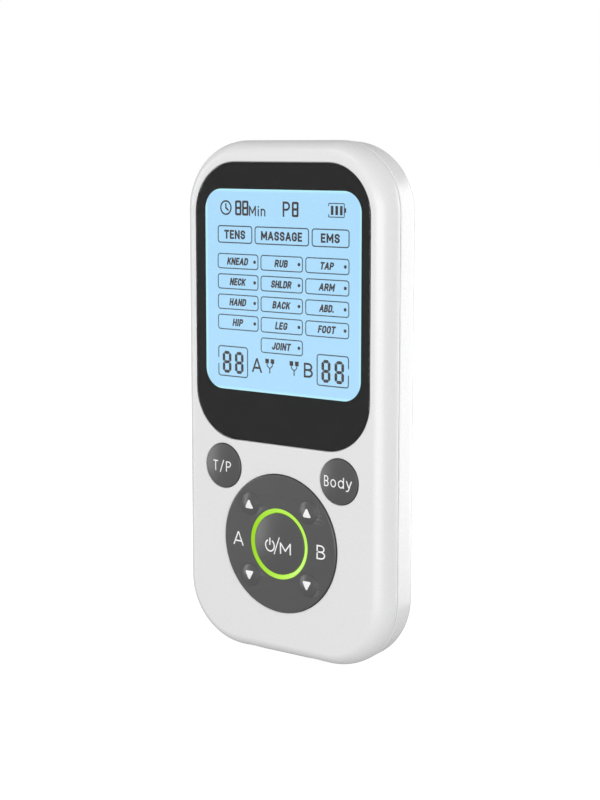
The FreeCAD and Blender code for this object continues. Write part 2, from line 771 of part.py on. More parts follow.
HALF_CHARGER = "(charger_width / 2)"
CHARGER_TOP = "(charger_inset + charger_length)"
can = block("charger_can", f"(0 - {HALF_CHARGER})", HALF_CHARGER, CHARGER_FRONT, CHARGER_BACK,
            "charger_inset", CHARGER_TOP)
mouth = block("charger_mouth", f"(charger_skin - {HALF_CHARGER})", f"({HALF_CHARGER} - charger_skin)",
              f"({CHARGER_FRONT} + charger_skin)", f"({CHARGER_BACK} - charger_skin)",
              "0", f"({CHARGER_TOP} - charger_skin)")
keep("charging_socket", cut("charging_socket", can, [mouth]))
TONGUE_FRONT = f"({CHARGER_FRONT} + (charger_tall - tongue_thickness) / 2)"
tongue = block("charging_tongue", "(0 - charger_width / 3)", "(charger_width / 3)", TONGUE_FRONT,
               f"({TONGUE_FRONT} + tongue_thickness)", "(charger_inset + tongue_set_back)",
               f"({CHARGER_TOP} - charger_skin)")
keep("charging_tongue", tongue)

# ---- battery -----------------------------------------------------------------------

half = "(battery_width / 2)"
BATTERY_TOP = "(battery_height + battery_tall)"
cell = new_body("battery_cell")
shape = foot_sketch(cell, "battery_height")
rounded(shape, f"(0 - {half})", half, BATTERY_FRONT, BATTERY_BACK, "battery_corner")
pad(cell, shape, "battery_tall", upwards=True)
keep("battery_cell", cell)
keep("battery_tape", block("battery_tape", "(tape_margin - battery_width / 2)",
                           "(battery_width / 2 - tape_margin)", BATTERY_BACK, INSIDE_BACK,
                           "(battery_height + tape_margin)", f"({BATTERY_TOP} - tape_margin)"))
PLUG_TOP = "(battery_height - plug_drop)"
keep("battery_connector", block("battery_connector", "(0 - plug_half_width)", "plug_half_width",
                                BOARD_BACK, f"({BATTERY_FRONT} + plug_past_battery_front)",
                                f"({PLUG_TOP} - plug_tall)", PLUG_TOP))
leads = []
for place in (-1.2, 1.2):
    leads.append(column("battery_lead", str(place), f"({BATTERY_FRONT} + lead_past_battery_front)",
                        "lead_radius", PLUG_TOP, "battery_height"))
keep("battery_leads", group("battery_leads", leads))

# ---- parts soldered to the back of the board ---------------------------------------


def chip(node, x, z, width, tall, thick):
    """A flat package on the back of the board."""
    return block(node, f"({x} - {width} / 2)", f"({x} + {width} / 2)", BOARD_BACK,
                 f"({BOARD_BACK} + {thick})", f"({z} - {tall} / 2)", f"({z} + {tall} / 2)")


keep("controller_chip", chip("controller_chip", 0, "(pad_height + 6)", 10, 10, 1.6))
keep("crystal", chip("crystal", 0, "(pad_height - 3)", 5, 3.2, 1.2))
for letter, side in (("a", -1), ("b", 1)):
    name = "output_transformer_" + letter
    x = f"({side} * 14)"
    core = chip(name + "_core", x, "(pad_height + 2)", 9, 9, 4.4)
    winding = rod(name + "_winding", x, "(pad_height + 2)", "3.2", f"({BOARD_BACK} + 0.6)",
                  f"({BOARD_BACK} + 5)")
    keep(name, fuse(name, [core, winding]))
keep("driver_chips", group("driver_chips", [
    chip("driver_chip", f"({side} * 14)", "(pad_height + 13)", 6, 5, 1.6) for side in (-1, 1)]))
coil = chip("boost_coil", -20, "(pad_height + 20)", 6, 6, 2.6)
keep("boost_inductor", coil)
keep("capacitors", group("capacitors", [
    rod("capacitor", f"({side} * 21)", "(pad_height - 8)", "2.5", BOARD_BACK, f"({BOARD_BACK} + 4)")
    for side in (-1, 1)]))
sounder = rod("buzzer_case", "20", "(pad_height + 20.5)", "3.6", BOARD_BACK, f"({BOARD_BACK} + 3)")
sound_hole = rod("buzzer_hole", "20", "(pad_height + 20.5)", "0.8", f"({BOARD_BACK} + 2)",
                 f"({BOARD_BACK} + 4)")
keep("buzzer", cut("buzzer", sounder, [sound_hole]))

# ---- screws and label --------------------------------------------------------------


def screw(name, x, z, shank, tip, seat, head, head_tall):
    """A pan-headed screw driven from the back, with a cross recess."""
    shaft = rod(name + "_shank", x, z, shank, tip, f"({seat} + {head_tall} / 2)")
    cap = rod(name + "_head", x, z, head, seat, f"({seat} + {head_tall})")
    cross = []
    for wide, tall in (("screw_cross_half", "screw_cross_long"), ("screw_cross_long", "screw_cross_half")):
        cross.append(block(name + "_slot", f"({x} - {wide})", f"({x} + {wide})",
                           f"({seat} + {head_tall} - screw_cross_deep)",
                           f"({seat} + {head_tall} + cutter_overrun)",
                           f"({z} - {tall})", f"({z} + {tall})"))
    return cut(name, fuse(name + "_solid", [shaft, cap]), cross)


keep("case_screws", group("case_screws", [
    screw("case_screw", x, z, "screw_shank", "(2 * wall + screw_tip_room)", WELL_FLOOR, "screw_head",
          "screw_head_tall") for x, z in CASE_POSTS]))
keep("board_screws", group("board_screws", [
    screw("board_screw", x, z, "(post_core - loose_fit / 2)", "(2 * wall + board_screw_tip_room)",
          BOARD_BACK, "board_screw_head", "board_screw_head_tall") for x, z in BOARD_POSTS]))
plate("rating_label", "label_width", "label_height", "(label_height + label_tall)",
      "label_corner", "(case_depth - label_thickness)", "label_thickness")

# ---- check and export --------------------------------------------------------------

document.recompute()
for thing in document.Objects:
    if "Invalid" in thing.State or "Error" in thing.State:
        raise RuntimeError(f"{thing.Name} failed: {thing.State}")
for node, thing in nodes.items():
    if thing.Shape.isNull() or not thing.Shape.isValid() or not thing.Shape.Solids:
        raise RuntimeError(node + " has no valid solid")
os.makedirs("parts", exist_ok=True)
for node, thing in nodes.items():
    thing.Shape.exportStep(f"parts/{node}.step")
print(len(nodes), "sub-parts written")
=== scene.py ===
import math

import bmesh
import bpy
import numpy as np
from mathutils import Matrix, Vector
from mathutils.geometry import tessellate_polygon


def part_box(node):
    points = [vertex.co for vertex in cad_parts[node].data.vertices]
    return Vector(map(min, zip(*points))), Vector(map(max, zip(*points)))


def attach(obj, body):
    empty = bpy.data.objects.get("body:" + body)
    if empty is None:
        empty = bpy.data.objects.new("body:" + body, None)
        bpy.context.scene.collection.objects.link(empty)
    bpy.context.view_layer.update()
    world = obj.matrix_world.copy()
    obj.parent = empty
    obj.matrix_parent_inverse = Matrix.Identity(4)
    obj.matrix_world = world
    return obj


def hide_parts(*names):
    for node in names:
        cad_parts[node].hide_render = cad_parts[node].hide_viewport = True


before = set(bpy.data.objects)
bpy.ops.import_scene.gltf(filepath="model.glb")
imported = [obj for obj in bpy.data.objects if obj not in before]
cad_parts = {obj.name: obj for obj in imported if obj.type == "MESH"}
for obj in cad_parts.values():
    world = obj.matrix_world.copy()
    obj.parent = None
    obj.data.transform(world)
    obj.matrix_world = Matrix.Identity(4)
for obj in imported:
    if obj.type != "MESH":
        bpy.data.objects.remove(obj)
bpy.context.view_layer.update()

# ---- Frame of the unit ---------------------------------------------------------------
# A nerve stimulator stands on its lower end: X to the user's right, Z up, Y into the case.
# Sizes below are millimetres; a "depth" is counted from the flat display face backwards.


def span(node):
    """Lowest and highest corner of a CAD node, in millimetres."""
    low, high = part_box(node)
    return np.array(low) * 1000, np.array(high) * 1000


FACE = span("display_window")[0][1]
CASE_HIGH = span("rear_shell")[1]
CASE_HALF = CASE_HIGH[0]
CASE_TALL = CASE_HIGH[2]
CASE_DEEP = CASE_HIGH[1] - FACE

# ---- Camera --------------------------------------------------------------------------
# It looks from the user's right and a little above, through a long lens.

camera = bpy.data.objects.new("camera", bpy.data.cameras.new("camera"))
bpy.context.scene.collection.objects.link(camera)
camera.data.lens = 77.5
camera.data.sensor_width = 36
camera.data.clip_start = 0.01
STAND = Vector((230.8, FACE - 295.7, 113.75)) / 1000
SIGHT = Vector((-0.5995, 0.7871, -0.1454))
SIDE = Vector((0.7955, 0.6059, 0.0004))
above = SIDE.cross(SIGHT).normalized()
turned = Matrix((SIDE, above, -SIGHT)).transposed().to_4x4()
camera.matrix_world = Matrix.Translation(STAND) @ turned
bpy.context.scene.camera = camera

# ---- Studio --------------------------------------------------------------------------
# A white light table stands under the unit in a white room. Large soft panels stand at
# its front right, its left and behind it; what lies between them is only dimly lit.

scene = bpy.context.scene
scene.view_settings.view_transform = "Standard"
scene.world = bpy.data.worlds.new("studio")
scene.world.use_nodes = True
room = scene.world.node_tree
room.nodes.clear()
ROOM_DIM, ROOM_WHITE = 0.43, 1.0
seen = room.nodes.new("ShaderNodeLightPath")
choice = room.nodes.new("ShaderNodeMixShader")
room.links.new(seen.outputs["Is Camera Ray"], choice.inputs["Fac"])
for index, level in ((1, ROOM_DIM), (2, ROOM_WHITE)):
    light = room.nodes.new("ShaderNodeBackground")
    light.inputs["Color"].default_value = (level, level, level, 1)
    room.links.new(light.outputs["Background"], choice.inputs[index])
world_output = room.nodes.new("ShaderNodeOutputWorld")
room.links.new(choice.outputs["Shader"], world_output.inputs["Surface"])

FLOOR_REACH, FLOOR_GLOW = 6.0, 0.72
floor_mesh = bpy.data.meshes.new("floor")
floor_corners = [(x * FLOOR_REACH, y * FLOOR_REACH, 0)
                 for x, y in ((-1, -1), (1, -1), (1, 1), (-1, 1))]
floor_mesh.from_pydata(floor_corners, [], [(0, 1, 2, 3)])
floor = bpy.data.objects.new("floor", floor_mesh)
scene.collection.objects.link(floor)
table = bpy.data.materials.new("light_table")
table.use_nodes = True
for socket, value in (("Base Color", (0.8, 0.8, 0.8, 1)), ("Roughness", 0.9),
                      ("Emission Color", (1, 1, 1, 1)), ("Emission Strength", FLOOR_GLOW)):
    table.node_tree.nodes["Principled BSDF"].inputs[socket].default_value = value
floor_mesh.materials.append(table)
floor.visible_glossy = False
floor.visible_diffuse = False


PANEL_DISTANCE = 1.0
PANEL_TARGET = Vector((0, 0, 0.06))


def soft_box(name, azimuth, elevation, wide, tall, radiance):
    """A panel at an angle round the unit: 0 is in front of it and 90 at its right."""
    turn, lift = math.radians(azimuth), math.radians(elevation)
    away = Vector((math.sin(turn) * math.cos(lift), -math.cos(turn) * math.cos(lift),
                   math.sin(lift)))
    lamp = bpy.data.lights.new(name, "AREA")
    lamp.shape = "RECTANGLE"
    lamp.size = wide
    lamp.size_y = tall
    lamp.energy = radiance * math.pi * wide * tall
    panel = bpy.data.objects.new(name, lamp)
    scene.collection.objects.link(panel)
    panel.location = PANEL_TARGET + away * PANEL_DISTANCE
    panel.rotation_euler = (-away).to_track_quat("-Z", "Y").to_euler()


soft_box("key_panel", 42, 2, 1.25, 0.7, 3.7)
soft_box("top_panel", -30, 52, 0.6, 0.16, 3.4)
soft_box("left_front_panel", -58, 2, 0.24, 0.7, 5.0)
soft_box("left_back_panel", -114, 3, 0.3, 0.8, 0.7)
soft_box("rim_panel", 160, 2, 0.8, 0.7, 3.5)

# ---- Front shell ---------------------------------------------------------------------
# White ABS moulding: a flat display face whose rim curves over to the parting line, with
# the window's recess and the holes for the key pad and the two upper keys.

PARTING = 5.6
WALL = 1.6
CASE_CORNER = 15.4
RIM = 3.2
EDGE = 0.22
PARTING_EDGE = 0.3
ARC_STEPS = 24
CREASE = 32
WELD, SPECK = 2e-7, 1e-8


def rounded(half, low, high, corner, inset=0.0):
    """A rectangle with round corners, as anticlockwise points: four arcs of one radius."""
    half, low, high, corner = half - inset, low + inset, high - inset, corner - inset
    turns = np.radians(np.linspace(0, 90, ARC_STEPS + 1))
    middles = ((half - corner, high - corner, 0), (corner - half, high - corner, 90),
               (corner - half, low + corner, 180), (half - corner, low + corner, 270))
    arcs = [np.stack([x + corner * np.cos(turns + math.radians(start)),
                      z + corner * np.sin(turns + math.radians(start))], 1)
            for x, z, start in middles]
    return np.concatenate(arcs)


def circle(x, z, radius, steps=96):
    """Points evenly spaced round a circle, anticlockwise."""
    turn = np.linspace(0, 2 * math.pi, steps, endpoint=False)
    return np.stack([x + radius * np.cos(turn), z + radius * np.sin(turn)], 1)


def case_outline(inset):
    """The case's outline seen from the front, a distance inside its side."""
    return rounded(CASE_HALF, 0, CASE_TALL, CASE_CORNER, inset)


def cover(rings):
    """Triangles that cover the inside of the first ring and the outside of the others."""
    return tessellate_polygon([[Vector((x, z, 0)) for x, z in ring] for ring in rings])


class Skin:
    """A surface put together from strips between loops and flat fills, all in millimetres."""

    def __init__(self):
        self.points = []
        self.faces = []
        self.count = 0

    def add(self, points, faces):
        """Keep points and the faces that count them from their own first one."""
        self.points.append(np.asarray(points, float))
        self.faces += [tuple(int(index) + self.count for index in face) for face in faces]
        self.count += len(points)

    def strip(self, outline, profile):
        """Carry a profile of (inset, depth) pairs along an outline: one quad per step."""
        loops = []
        for inset, depth in profile:
            flat = outline(inset)
            loops.append(np.insert(flat, 1, FACE + depth, axis=1))
        steps = len(loops[0])
        row = np.arange(steps)
        ahead = (row + 1) % steps
        quads = [np.column_stack([low + row, low + ahead, low + steps + ahead, low + steps + row])
                 for low in range(0, steps * (len(loops) - 1), steps)]
        self.add(np.concatenate(loops), np.concatenate(quads))

    def fill(self, depth, outer, holes=()):
        """A flat face at a depth, inside one outline and outside the others."""
        rings = [outer, *holes]
        self.add(np.insert(np.concatenate(rings), 1, FACE + depth, axis=1), cover(rings))

    def piece(self, name, material, smooth=CREASE, body="case"):
        """Weld the seams, turn the faces outwards and make the object that rides on a body."""
        work = bmesh.new()
        corners = [work.verts.new(point / 1000) for point in np.concatenate(self.points)]
        for face in self.faces:
            work.faces.new([corners[index] for index in face])
        bmesh.ops.remove_doubles(work, verts=work.verts, dist=WELD)
        bmesh.ops.dissolve_degenerate(work, edges=work.edges, dist=SPECK)
        bmesh.ops.recalc_face_normals(work, faces=work.faces)
        mesh = bpy.data.meshes.new(name)
        work.to_mesh(mesh)
        work.free()
        return finish_piece(bpy.data.objects.new(name, mesh), material, smooth, body)


def shade(thing, smooth):
    """Shade a piece smooth except at edges sharper than an angle, and weigh its normals."""
    thing.data.shade_smooth()
    thing.data.set_sharp_from_angle(angle=math.radians(smooth))
    weigh = thing.modifiers.new("weighted", "WEIGHTED_NORMAL")
    weigh.keep_sharp = True


def finish_piece(thing, material, smooth, body):
    """Link a piece, give it its material and shading, and let it ride on a body."""
    scene.collection.objects.link(thing)
    thing.data.materials.append(material)
    shade(thing, smooth)
    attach(thing, body)
    return thing


def quarter(inset_a, depth_a, inset_b, depth_b, steps=6, steep_first=False):
    """A quarter of an ellipse between two profile points, flat or steep at its start."""
    turn = np.linspace(0, math.pi / 2, steps + 1)
    along, across = np.sin(turn), 1 - np.cos(turn)
    if steep_first:
        along, across = across, along
    return [(inset_a + (inset_b - inset_a) * u, depth_a + (depth_b - depth_a) * v)
            for u, v in zip(along, across)]


class Value:
    """A shader socket that can be used in ordinary arithmetic."""

    def __init__(self, tree, socket):
        self.tree = tree
        self.socket = socket

    def math(self, operation, other=None, swap=False):
        """One Math node on this socket and a number or another socket, in either order."""
        node = self.tree.nodes.new("ShaderNodeMath")
        node.operation = operation
        pair = [self, other] if not swap else [other, self]
        for slot, item in zip(node.inputs, pair):
            if isinstance(item, Value):
                self.tree.links.new(item.socket, slot)
            elif item is not None:
                slot.default_value = item
        return Value(self.tree, node.outputs[0])

    def __add__(self, other):
        return self.math("ADD", other)

    def __sub__(self, other):
        return self.math("SUBTRACT", other)

    def __rsub__(self, other):
        return self.math("SUBTRACT", other, swap=True)

    def __mul__(self, other):
        return self.math("MULTIPLY", other)

    __radd__ = __add__
    __rmul__ = __mul__

    def clamp(self):
        """Keep between 0 and 1."""
        return self.math("MINIMUM", 1.0).math("MAXIMUM", 0.0)


class Finish:
    """A Principled material: constants go on its sockets, patterns are linked to them."""

    def __init__(self, name, **constants):
        self.material = bpy.data.materials.new(name)
        self.material.use_nodes = True
        self.tree = self.material.node_tree
        self.shader = self.tree.nodes["Principled BSDF"]
        for socket, value in constants.items():
            self.shader.inputs[socket.replace("_", " ")].default_value = value
        self.place = self.node("ShaderNodeTexCoord", {}, {}, "Object")

    def node(self, kind, settings, sockets, output=0):
        """Any node: its settings first, then the values or links of its sockets."""
        made = self.tree.nodes.new(kind)
        for key, value in settings.items():
            setattr(made, key, value)
        for key, value in sockets.items():
            if isinstance(value, Value):
                self.tree.links.new(value.socket, made.inputs[key])
            else:
                made.inputs[key].default_value = value
        return Value(self.tree, made.outputs[output])

    def axis(self, index):
        """The place along X, Y or Z, in metres."""
        return self.node("ShaderNodeSeparateXYZ", {}, {"Vector": self.place}, index)

    def noise(self, scale, detail=3.0, roughness=0.55, stretch=None):
        """Fractal noise per metre of the object, optionally stretched along its axes."""
        place = self.place
        if stretch:
            place = self.node("ShaderNodeMapping", {}, {"Vector": self.place, "Scale": stretch})
        sockets = {"Vector": place, "Scale": scale, "Detail": detail, "Roughness": roughness}
        return self.node("ShaderNodeTexNoise", {}, sockets, "Fac")

    def mix(self, factor, first, second):
        """Between two colours by a factor."""
        sockets = {0: factor, 6: first, 7: second}
        return self.node("ShaderNodeMix", {"data_type": "RGBA"}, sockets, 2)

    def bump(self, height, distance):
        """Raise the surface by a pattern, up to a distance in metres."""
        sockets = {"Height": height, "Distance": distance, "Strength": 1.0}
        self.set("Normal", self.node("ShaderNodeBump", {}, sockets))

    def set(self, socket, value):
        """Link a pattern to one of the shader's sockets."""
        self.tree.links.new(value.socket, self.shader.inputs[socket])


def grey(level):
    """A neutral colour."""
    return (level, level, level, 1)


def moulded(name, base, roughness, grain=0.000012, tint=0.03):
    """Injection-moulded plastic: a fine eroded grain that also varies the gloss, and a slow drift of
    tone.
    """
    finish = Finish(name, Specular_IOR_Level=0.5)
    drift = finish.noise(45, 2)
    darker = tuple(channel * (1 - tint) for channel in base[:3]) + (1,)
    finish.set("Base Color", finish.mix(drift, darker, base))
    fine = finish.noise(5200, 2, 0.6)
    finish.set("Roughness", roughness - 0.05 + 0.1 * fine)
    finish.bump(fine, grain)
    return finish


shell_white = moulded("shell_white", grey(0.82), 0.27, tint=0.012)

PAD_LOW, PAD_HIGH = span("pad_disc")
PAD_X, PAD_Z = 0.0, (PAD_LOW[2] + PAD_HIGH[2]) / 2
PAD_FLANGE = 1.0
PAD_RADIUS = PAD_HIGH[0] - PAD_FLANGE
PAD_GAP = 0.15
WINDOW_LOW, WINDOW_HIGH = span("display_window")
WINDOW_CORNER = 11.3
WINDOW_THICK = WINDOW_HIGH[1] - WINDOW_LOW[1]
LEDGE = WINDOW_THICK + 0.1
WINDOW_GAP = 0.1
GLASS_LOW, GLASS_HIGH = span("lcd_glass")
GLASS_CORNER = 1.4
GLASS_GAP = 0.1
KEY_FLANGE = 0.5


def middle(node):
    """Centre of a node as X and Z."""
    low, high = span(node)
    return (low[0] + high[0]) / 2, (low[2] + high[2]) / 2


SIDE_KEYS = {"program_key": middle("program_key"), "body_key": middle("body_key")}
KEY_LOW, KEY_HIGH = span("body_key")
SIDE_RADIUS = (KEY_HIGH[0] - KEY_LOW[0]) / 2 - KEY_FLANGE
KEY_GAP = 0.15

shell = Skin()
rim = quarter(RIM, 0, 0, PARTING - PARTING_EDGE, 22)
edge = quarter(0, PARTING - PARTING_EDGE, PARTING_EDGE, PARTING, 5, steep_first=True)
lip = quarter(-EDGE, 0, 0, EDGE, 5)
shell.strip(case_outline, rim + edge[1:] + [(WALL, PARTING), (WALL, WALL)])


def room_for(low, high, corner, gap):
    """The outline of a hole round a part, a gap away from it, as a function of the inset."""
    return lambda inset: rounded(high[0] + gap, low[2] - gap, high[2] + gap, corner + gap, inset)


window_hole = room_for(WINDOW_LOW, WINDOW_HIGH, WINDOW_CORNER, WINDOW_GAP)
glass_hole = room_for(GLASS_LOW, GLASS_HIGH, GLASS_CORNER, GLASS_GAP)


def round_hole(x, z, radius):
    """A round outline as a function of the inset."""
    return lambda inset: circle(x, z, radius - inset)


shell.strip(window_hole, lip + [(0, LEDGE)])
shell.fill(LEDGE, window_hole(0), [glass_hole(0)])
shell.strip(glass_hole, [(0, LEDGE), (0, WALL)])
holes = [round_hole(PAD_X, PAD_Z, PAD_RADIUS + PAD_GAP)]
for x, z in SIDE_KEYS.values():
    holes.append(round_hole(x, z, SIDE_RADIUS + KEY_GAP))
for hole in holes:
    shell.strip(hole, lip + [(0, WALL)])
shell.fill(0, case_outline(RIM), [window_hole(-EDGE)] + [hole(-EDGE) for hole in holes])
shell.fill(WALL, case_outline(WALL), [glass_hole(0)] + [hole(0) for hole in holes])
front_skin = shell.piece("front_skin", shell_white.material)
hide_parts("front_shell")

# ---- Rear shell ----------------------------------------------------------------------
# The other half of the case: it has a little draft and a generous radius round its back,
# a lip that enters the front half, two screw wells and a shallow recess for the label.

REAR_START, REAR_SET_IN, REAR_EDGE = 5.9, 0.02, 0.22
DRAFT = 0.28
BACK_RADIUS = 4.8
BACK_BEND = 4.4
SCREW_LOW, SCREW_HIGH = span("case_screws")
SCREW_HEAD = 2.1
SCREW_X = SCREW_HIGH[0] - SCREW_HEAD
SCREW_Z = (SCREW_LOW[2] + SCREW_HIGH[2]) / 2
WELL_RADIUS, WELL_EDGE, WELL_WALL = 2.9, 0.2, 0.6
SEAT_THICK = 1.1
WELL_FLOOR = SCREW_HIGH[1] - FACE - 1.4
WELL_INSIDE = WELL_FLOOR - SEAT_THICK
LABEL_LOW, LABEL_HIGH = span("rating_label")
LABEL_CORNER, LABEL_GAP = 2.0, 0.1
LABEL_FLOOR = CASE_DEEP - 0.15
LIP_OUTER, LIP_INNER, LIP_FRONT, LIP_ROOT = 1.7, 2.5, 4.6, 7.0

shell = Skin()
label_hole = room_for(LABEL_LOW, LABEL_HIGH, LABEL_CORNER, LABEL_GAP)
start = quarter(REAR_EDGE, REAR_START, REAR_SET_IN, REAR_START + REAR_EDGE, 4)
back = quarter(DRAFT, CASE_DEEP - BACK_BEND, BACK_RADIUS, CASE_DEEP, 20, steep_first=True)
inner = [(BACK_RADIUS, CASE_DEEP - WALL), (2.6, 12.2), (WALL, 10.4), (WALL, LIP_ROOT),
         (LIP_INNER, LIP_ROOT), (LIP_INNER, LIP_FRONT), (LIP_OUTER, LIP_FRONT),
         (LIP_OUTER, REAR_START), (REAR_EDGE, REAR_START)]
shell.strip(case_outline, start + back)
shell.strip(case_outline, inner)
wells = [round_hole(sign * SCREW_X, SCREW_Z, WELL_RADIUS) for sign in (-1, 1)]
well_edge = quarter(-WELL_EDGE, CASE_DEEP, 0, CASE_DEEP - WELL_EDGE, 4)
for well in wells:
    shell.strip(well, well_edge + [(0, WELL_FLOOR)])
    shell.fill(WELL_FLOOR, well(0))
    shell.strip(well, [(-WELL_WALL, CASE_DEEP - WALL), (-WELL_WALL, WELL_INSIDE)])
    shell.fill(WELL_INSIDE, well(-WELL_WALL))
shell.strip(label_hole, [(0, CASE_DEEP), (0, LABEL_FLOOR)])
shell.fill(LABEL_FLOOR, label_hole(0))
shell.fill(CASE_DEEP, case_outline(BACK_RADIUS),
           [label_hole(0)] + [well(-WELL_EDGE) for well in wells])
shell.fill(CASE_DEEP - WALL, case_outline(BACK_RADIUS), [well(-WELL_WALL) for well in wells])
rear_skin = shell.piece("rear_skin", shell_white.material)
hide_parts("rear_shell")

# ---- Socket recesses -----------------------------------------------------------------
# Each output socket sits in a shallow round recess milled across both halves of the case,
# and the charging socket looks out of a slot in the rear half.

JACK_LOW, JACK_HIGH = span("output_jack_b")
JACK_X = (JACK_LOW[0] + JACK_HIGH[0]) / 2
JACK_Y = (JACK_LOW[1] + JACK_HIGH[1]) / 2
RECESS_RADIUS, RECESS_DEEP = 5.6, JACK_LOW[2]
NOSE_RADIUS, NOSE_HOLE = 3.0, 2.6
CHARGER_LOW, CHARGER_HIGH = span("charging_socket")
CHARGER_GAP, CHARGER_CORNER, CHARGER_HOLE = 0.2, 0.4, 3.2
BELOW_FOOT = -1


def upright(name, outline, low, high):
    """A closed prism standing on an outline in X and Y, to cut with."""
    steps = len(outline)
    points = [(x / 1000, y / 1000, z / 1000) for z in (low, high) for x, y in outline]
    row = range(steps)
    faces = [(i, (i + 1) % steps, steps + (i + 1) % steps, steps + i) for i in row]
    faces += [tuple(reversed(row)), tuple(steps + i for i in row)]
    mesh = bpy.data.meshes.new(name)
    mesh.from_pydata(points, [], faces)
    thing = bpy.data.objects.new(name, mesh)
    scene.collection.objects.link(thing)
    return thing


def carve(thing, tools):
    """Take the tools' volumes out of a piece for good, then shade it again."""
    thing.modifiers.clear()
    for tool in tools:
        modifier = thing.modifiers.new("carve", "BOOLEAN")
        modifier.operation = "DIFFERENCE"
        modifier.solver = "EXACT"
        modifier.object = tool
    bpy.context.view_layer.update()
    graph = bpy.context.evaluated_depsgraph_get()
    mesh = bpy.data.meshes.new_from_object(thing.evaluated_get(graph))
    thing.modifiers.clear()
    thing.data = mesh
    shade(thing, CREASE)


tools = []
for sign in (-1, 1):
    mouth = circle(sign * JACK_X, JACK_Y, RECESS_RADIUS)
    nose = circle(sign * JACK_X, JACK_Y, NOSE_RADIUS, 64)
    tools.append(upright("recess_tool", mouth, BELOW_FOOT, RECESS_DEEP))
    tools.append(upright("nose_tool", nose, BELOW_FOOT, NOSE_HOLE))
carve(front_skin, tools)
slot = rounded(CHARGER_HIGH[0] + CHARGER_GAP, CHARGER_LOW[1] - CHARGER_GAP,
               CHARGER_HIGH[1] + CHARGER_GAP, CHARGER_CORNER)
tools.append(upright("slot_tool", slot, BELOW_FOOT, CHARGER_HOLE))
carve(rear_skin, tools)
for tool in tools:
    bpy.data.objects.remove(tool)

# ---- Window --------------------------------------------------------------------------
# A clear acrylic lens lies flush in the recess. Its back is printed black up to its edge,
# apart from the opening for the display, and black tape behind the print holds it in.

SCREEN_HALF, SCREEN_CORNER = 21.47, 4.6
SCREEN_TOP = WINDOW_HIGH[2] - 5.9
SCREEN_FOOT = SCREEN_TOP - 44.8
BEVEL = 0.16
LENS_BACK = WINDOW_THICK - 0.01
PRINT_DEPTH = LENS_BACK - 0.03
INK_INSET, INK_THICK = 0.03, 0.02

window_outline = room_for(WINDOW_LOW, WINDOW_HIGH, WINDOW_CORNER, 0)
screen_opening = rounded(SCREEN_HALF, SCREEN_FOOT, SCREEN_TOP, SCREEN_CORNER)

lens = Skin()
bevel = [(BEVEL, 0.0), (BEVEL - 0.05, 0.01), (0.02, 0.1), (0, BEVEL)]
lens.strip(window_outline, bevel + [(0, LENS_BACK)])
lens.fill(0, window_outline(BEVEL))
lens.fill(LENS_BACK, window_outline(0))
acrylic = Finish("clear_acrylic", Base_Color=grey(1.0), Transmission_Weight=1.0, IOR=1.49,
                 Specular_IOR_Level=0.5)
acrylic.set("Roughness", 0.012 + 0.012 * acrylic.noise(300, 2))
window = lens.piece("window_lens", acrylic.material, 25)
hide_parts("display_window")

ink = Skin()
print_faces = (PRINT_DEPTH, PRINT_DEPTH + INK_THICK)
ink.strip(window_outline, [(INK_INSET, depth) for depth in print_faces])
ink.strip(lambda inset: screen_opening, [(0, depth) for depth in print_faces])
for depth in print_faces:
    ink.fill(depth, window_outline(INK_INSET), [screen_opening])
black_ink = Finish("black_ink", Roughness=0.7, Specular_IOR_Level=0.0)
black_ink.set("Base Color", black_ink.mix(black_ink.noise(120), grey(0.014), grey(0.02)))
window_print = ink.piece("window_print", black_ink.material, 25)

# ---- Display glass -------------------------------------------------------------------
# The liquid crystal glass shines light blue from its backlight and is a little brighter
# round the rim of the opening, where the light guide's edge shows.

GLASS_FRONT, GLASS_BACK = GLASS_LOW[1] - FACE, GLASS_HIGH[1] - FACE
GLASS_EDGE = 0.1
glass_outline = room_for(GLASS_LOW, GLASS_HIGH, GLASS_CORNER, 0)

panel = Skin()
panel.strip(glass_outline, [(GLASS_EDGE, GLASS_FRONT), (0, GLASS_FRONT + GLASS_EDGE),
                            (0, GLASS_BACK)])
panel.fill(GLASS_FRONT, glass_outline(GLASS_EDGE))
panel.fill(GLASS_BACK, glass_outline(0))


def srgb(red, green, blue):
    """A screen colour of 0 to 255 as linear light."""
    level = np.array([red, green, blue]) / 255
    linear = np.where(level <= 0.04045, level / 12.92, ((level + 0.055) / 1.055) ** 2.4)
    return (*[float(channel) for channel in linear], 1)


lit = Finish("lit_crystal", Roughness=0.4, Specular_IOR_Level=0.0, Emission_Strength=1.0)
lit_colour, cloud_colour, rim_colour = srgb(170, 222, 255), srgb(168, 220, 252), srgb(182, 243, 255)
GLOW_START, GLOW_RISE = 0.75, 1800
across = lit.axis(0).math("ABSOLUTE")
up = (lit.axis(2) - (SCREEN_TOP + SCREEN_FOOT) / 2000).math("ABSOLUTE")
near_side = (across - (SCREEN_HALF - GLOW_START) / 1000) * GLOW_RISE
near_end = (up - ((SCREEN_TOP - SCREEN_FOOT) / 2 - GLOW_START) / 1000) * GLOW_RISE
glow = near_side.math("MAXIMUM", near_end).clamp()
cloud = lit.noise(60, 2) * 0.06
soft = lit.mix(cloud, lit_colour, cloud_colour)
lit.set("Emission Color", lit.mix(glow, soft, rim_colour))
lit.set("Base Color", lit.mix(glow, grey(0.01), grey(0.02)))
screen = panel.piece("display_glass", lit.material, 25)
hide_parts("lcd_glass")

# ---- Display segments ----------------------------------------------------------------
# The dark figures, words and boxes that the crystal shows: thin flat shapes between the
# print and the glass. Words are generic functions and body parts; digits are all eights.

SEGMENT_DEPTH, SEGMENT_THICK = (WINDOW_THICK + GLASS_FRONT) / 2, 0.02
DOME_STEP, DOME_CUTS = 0.4, 4
LAYER_STEP, LAYERS = 0.001, 8
BEND_STEPS = 6


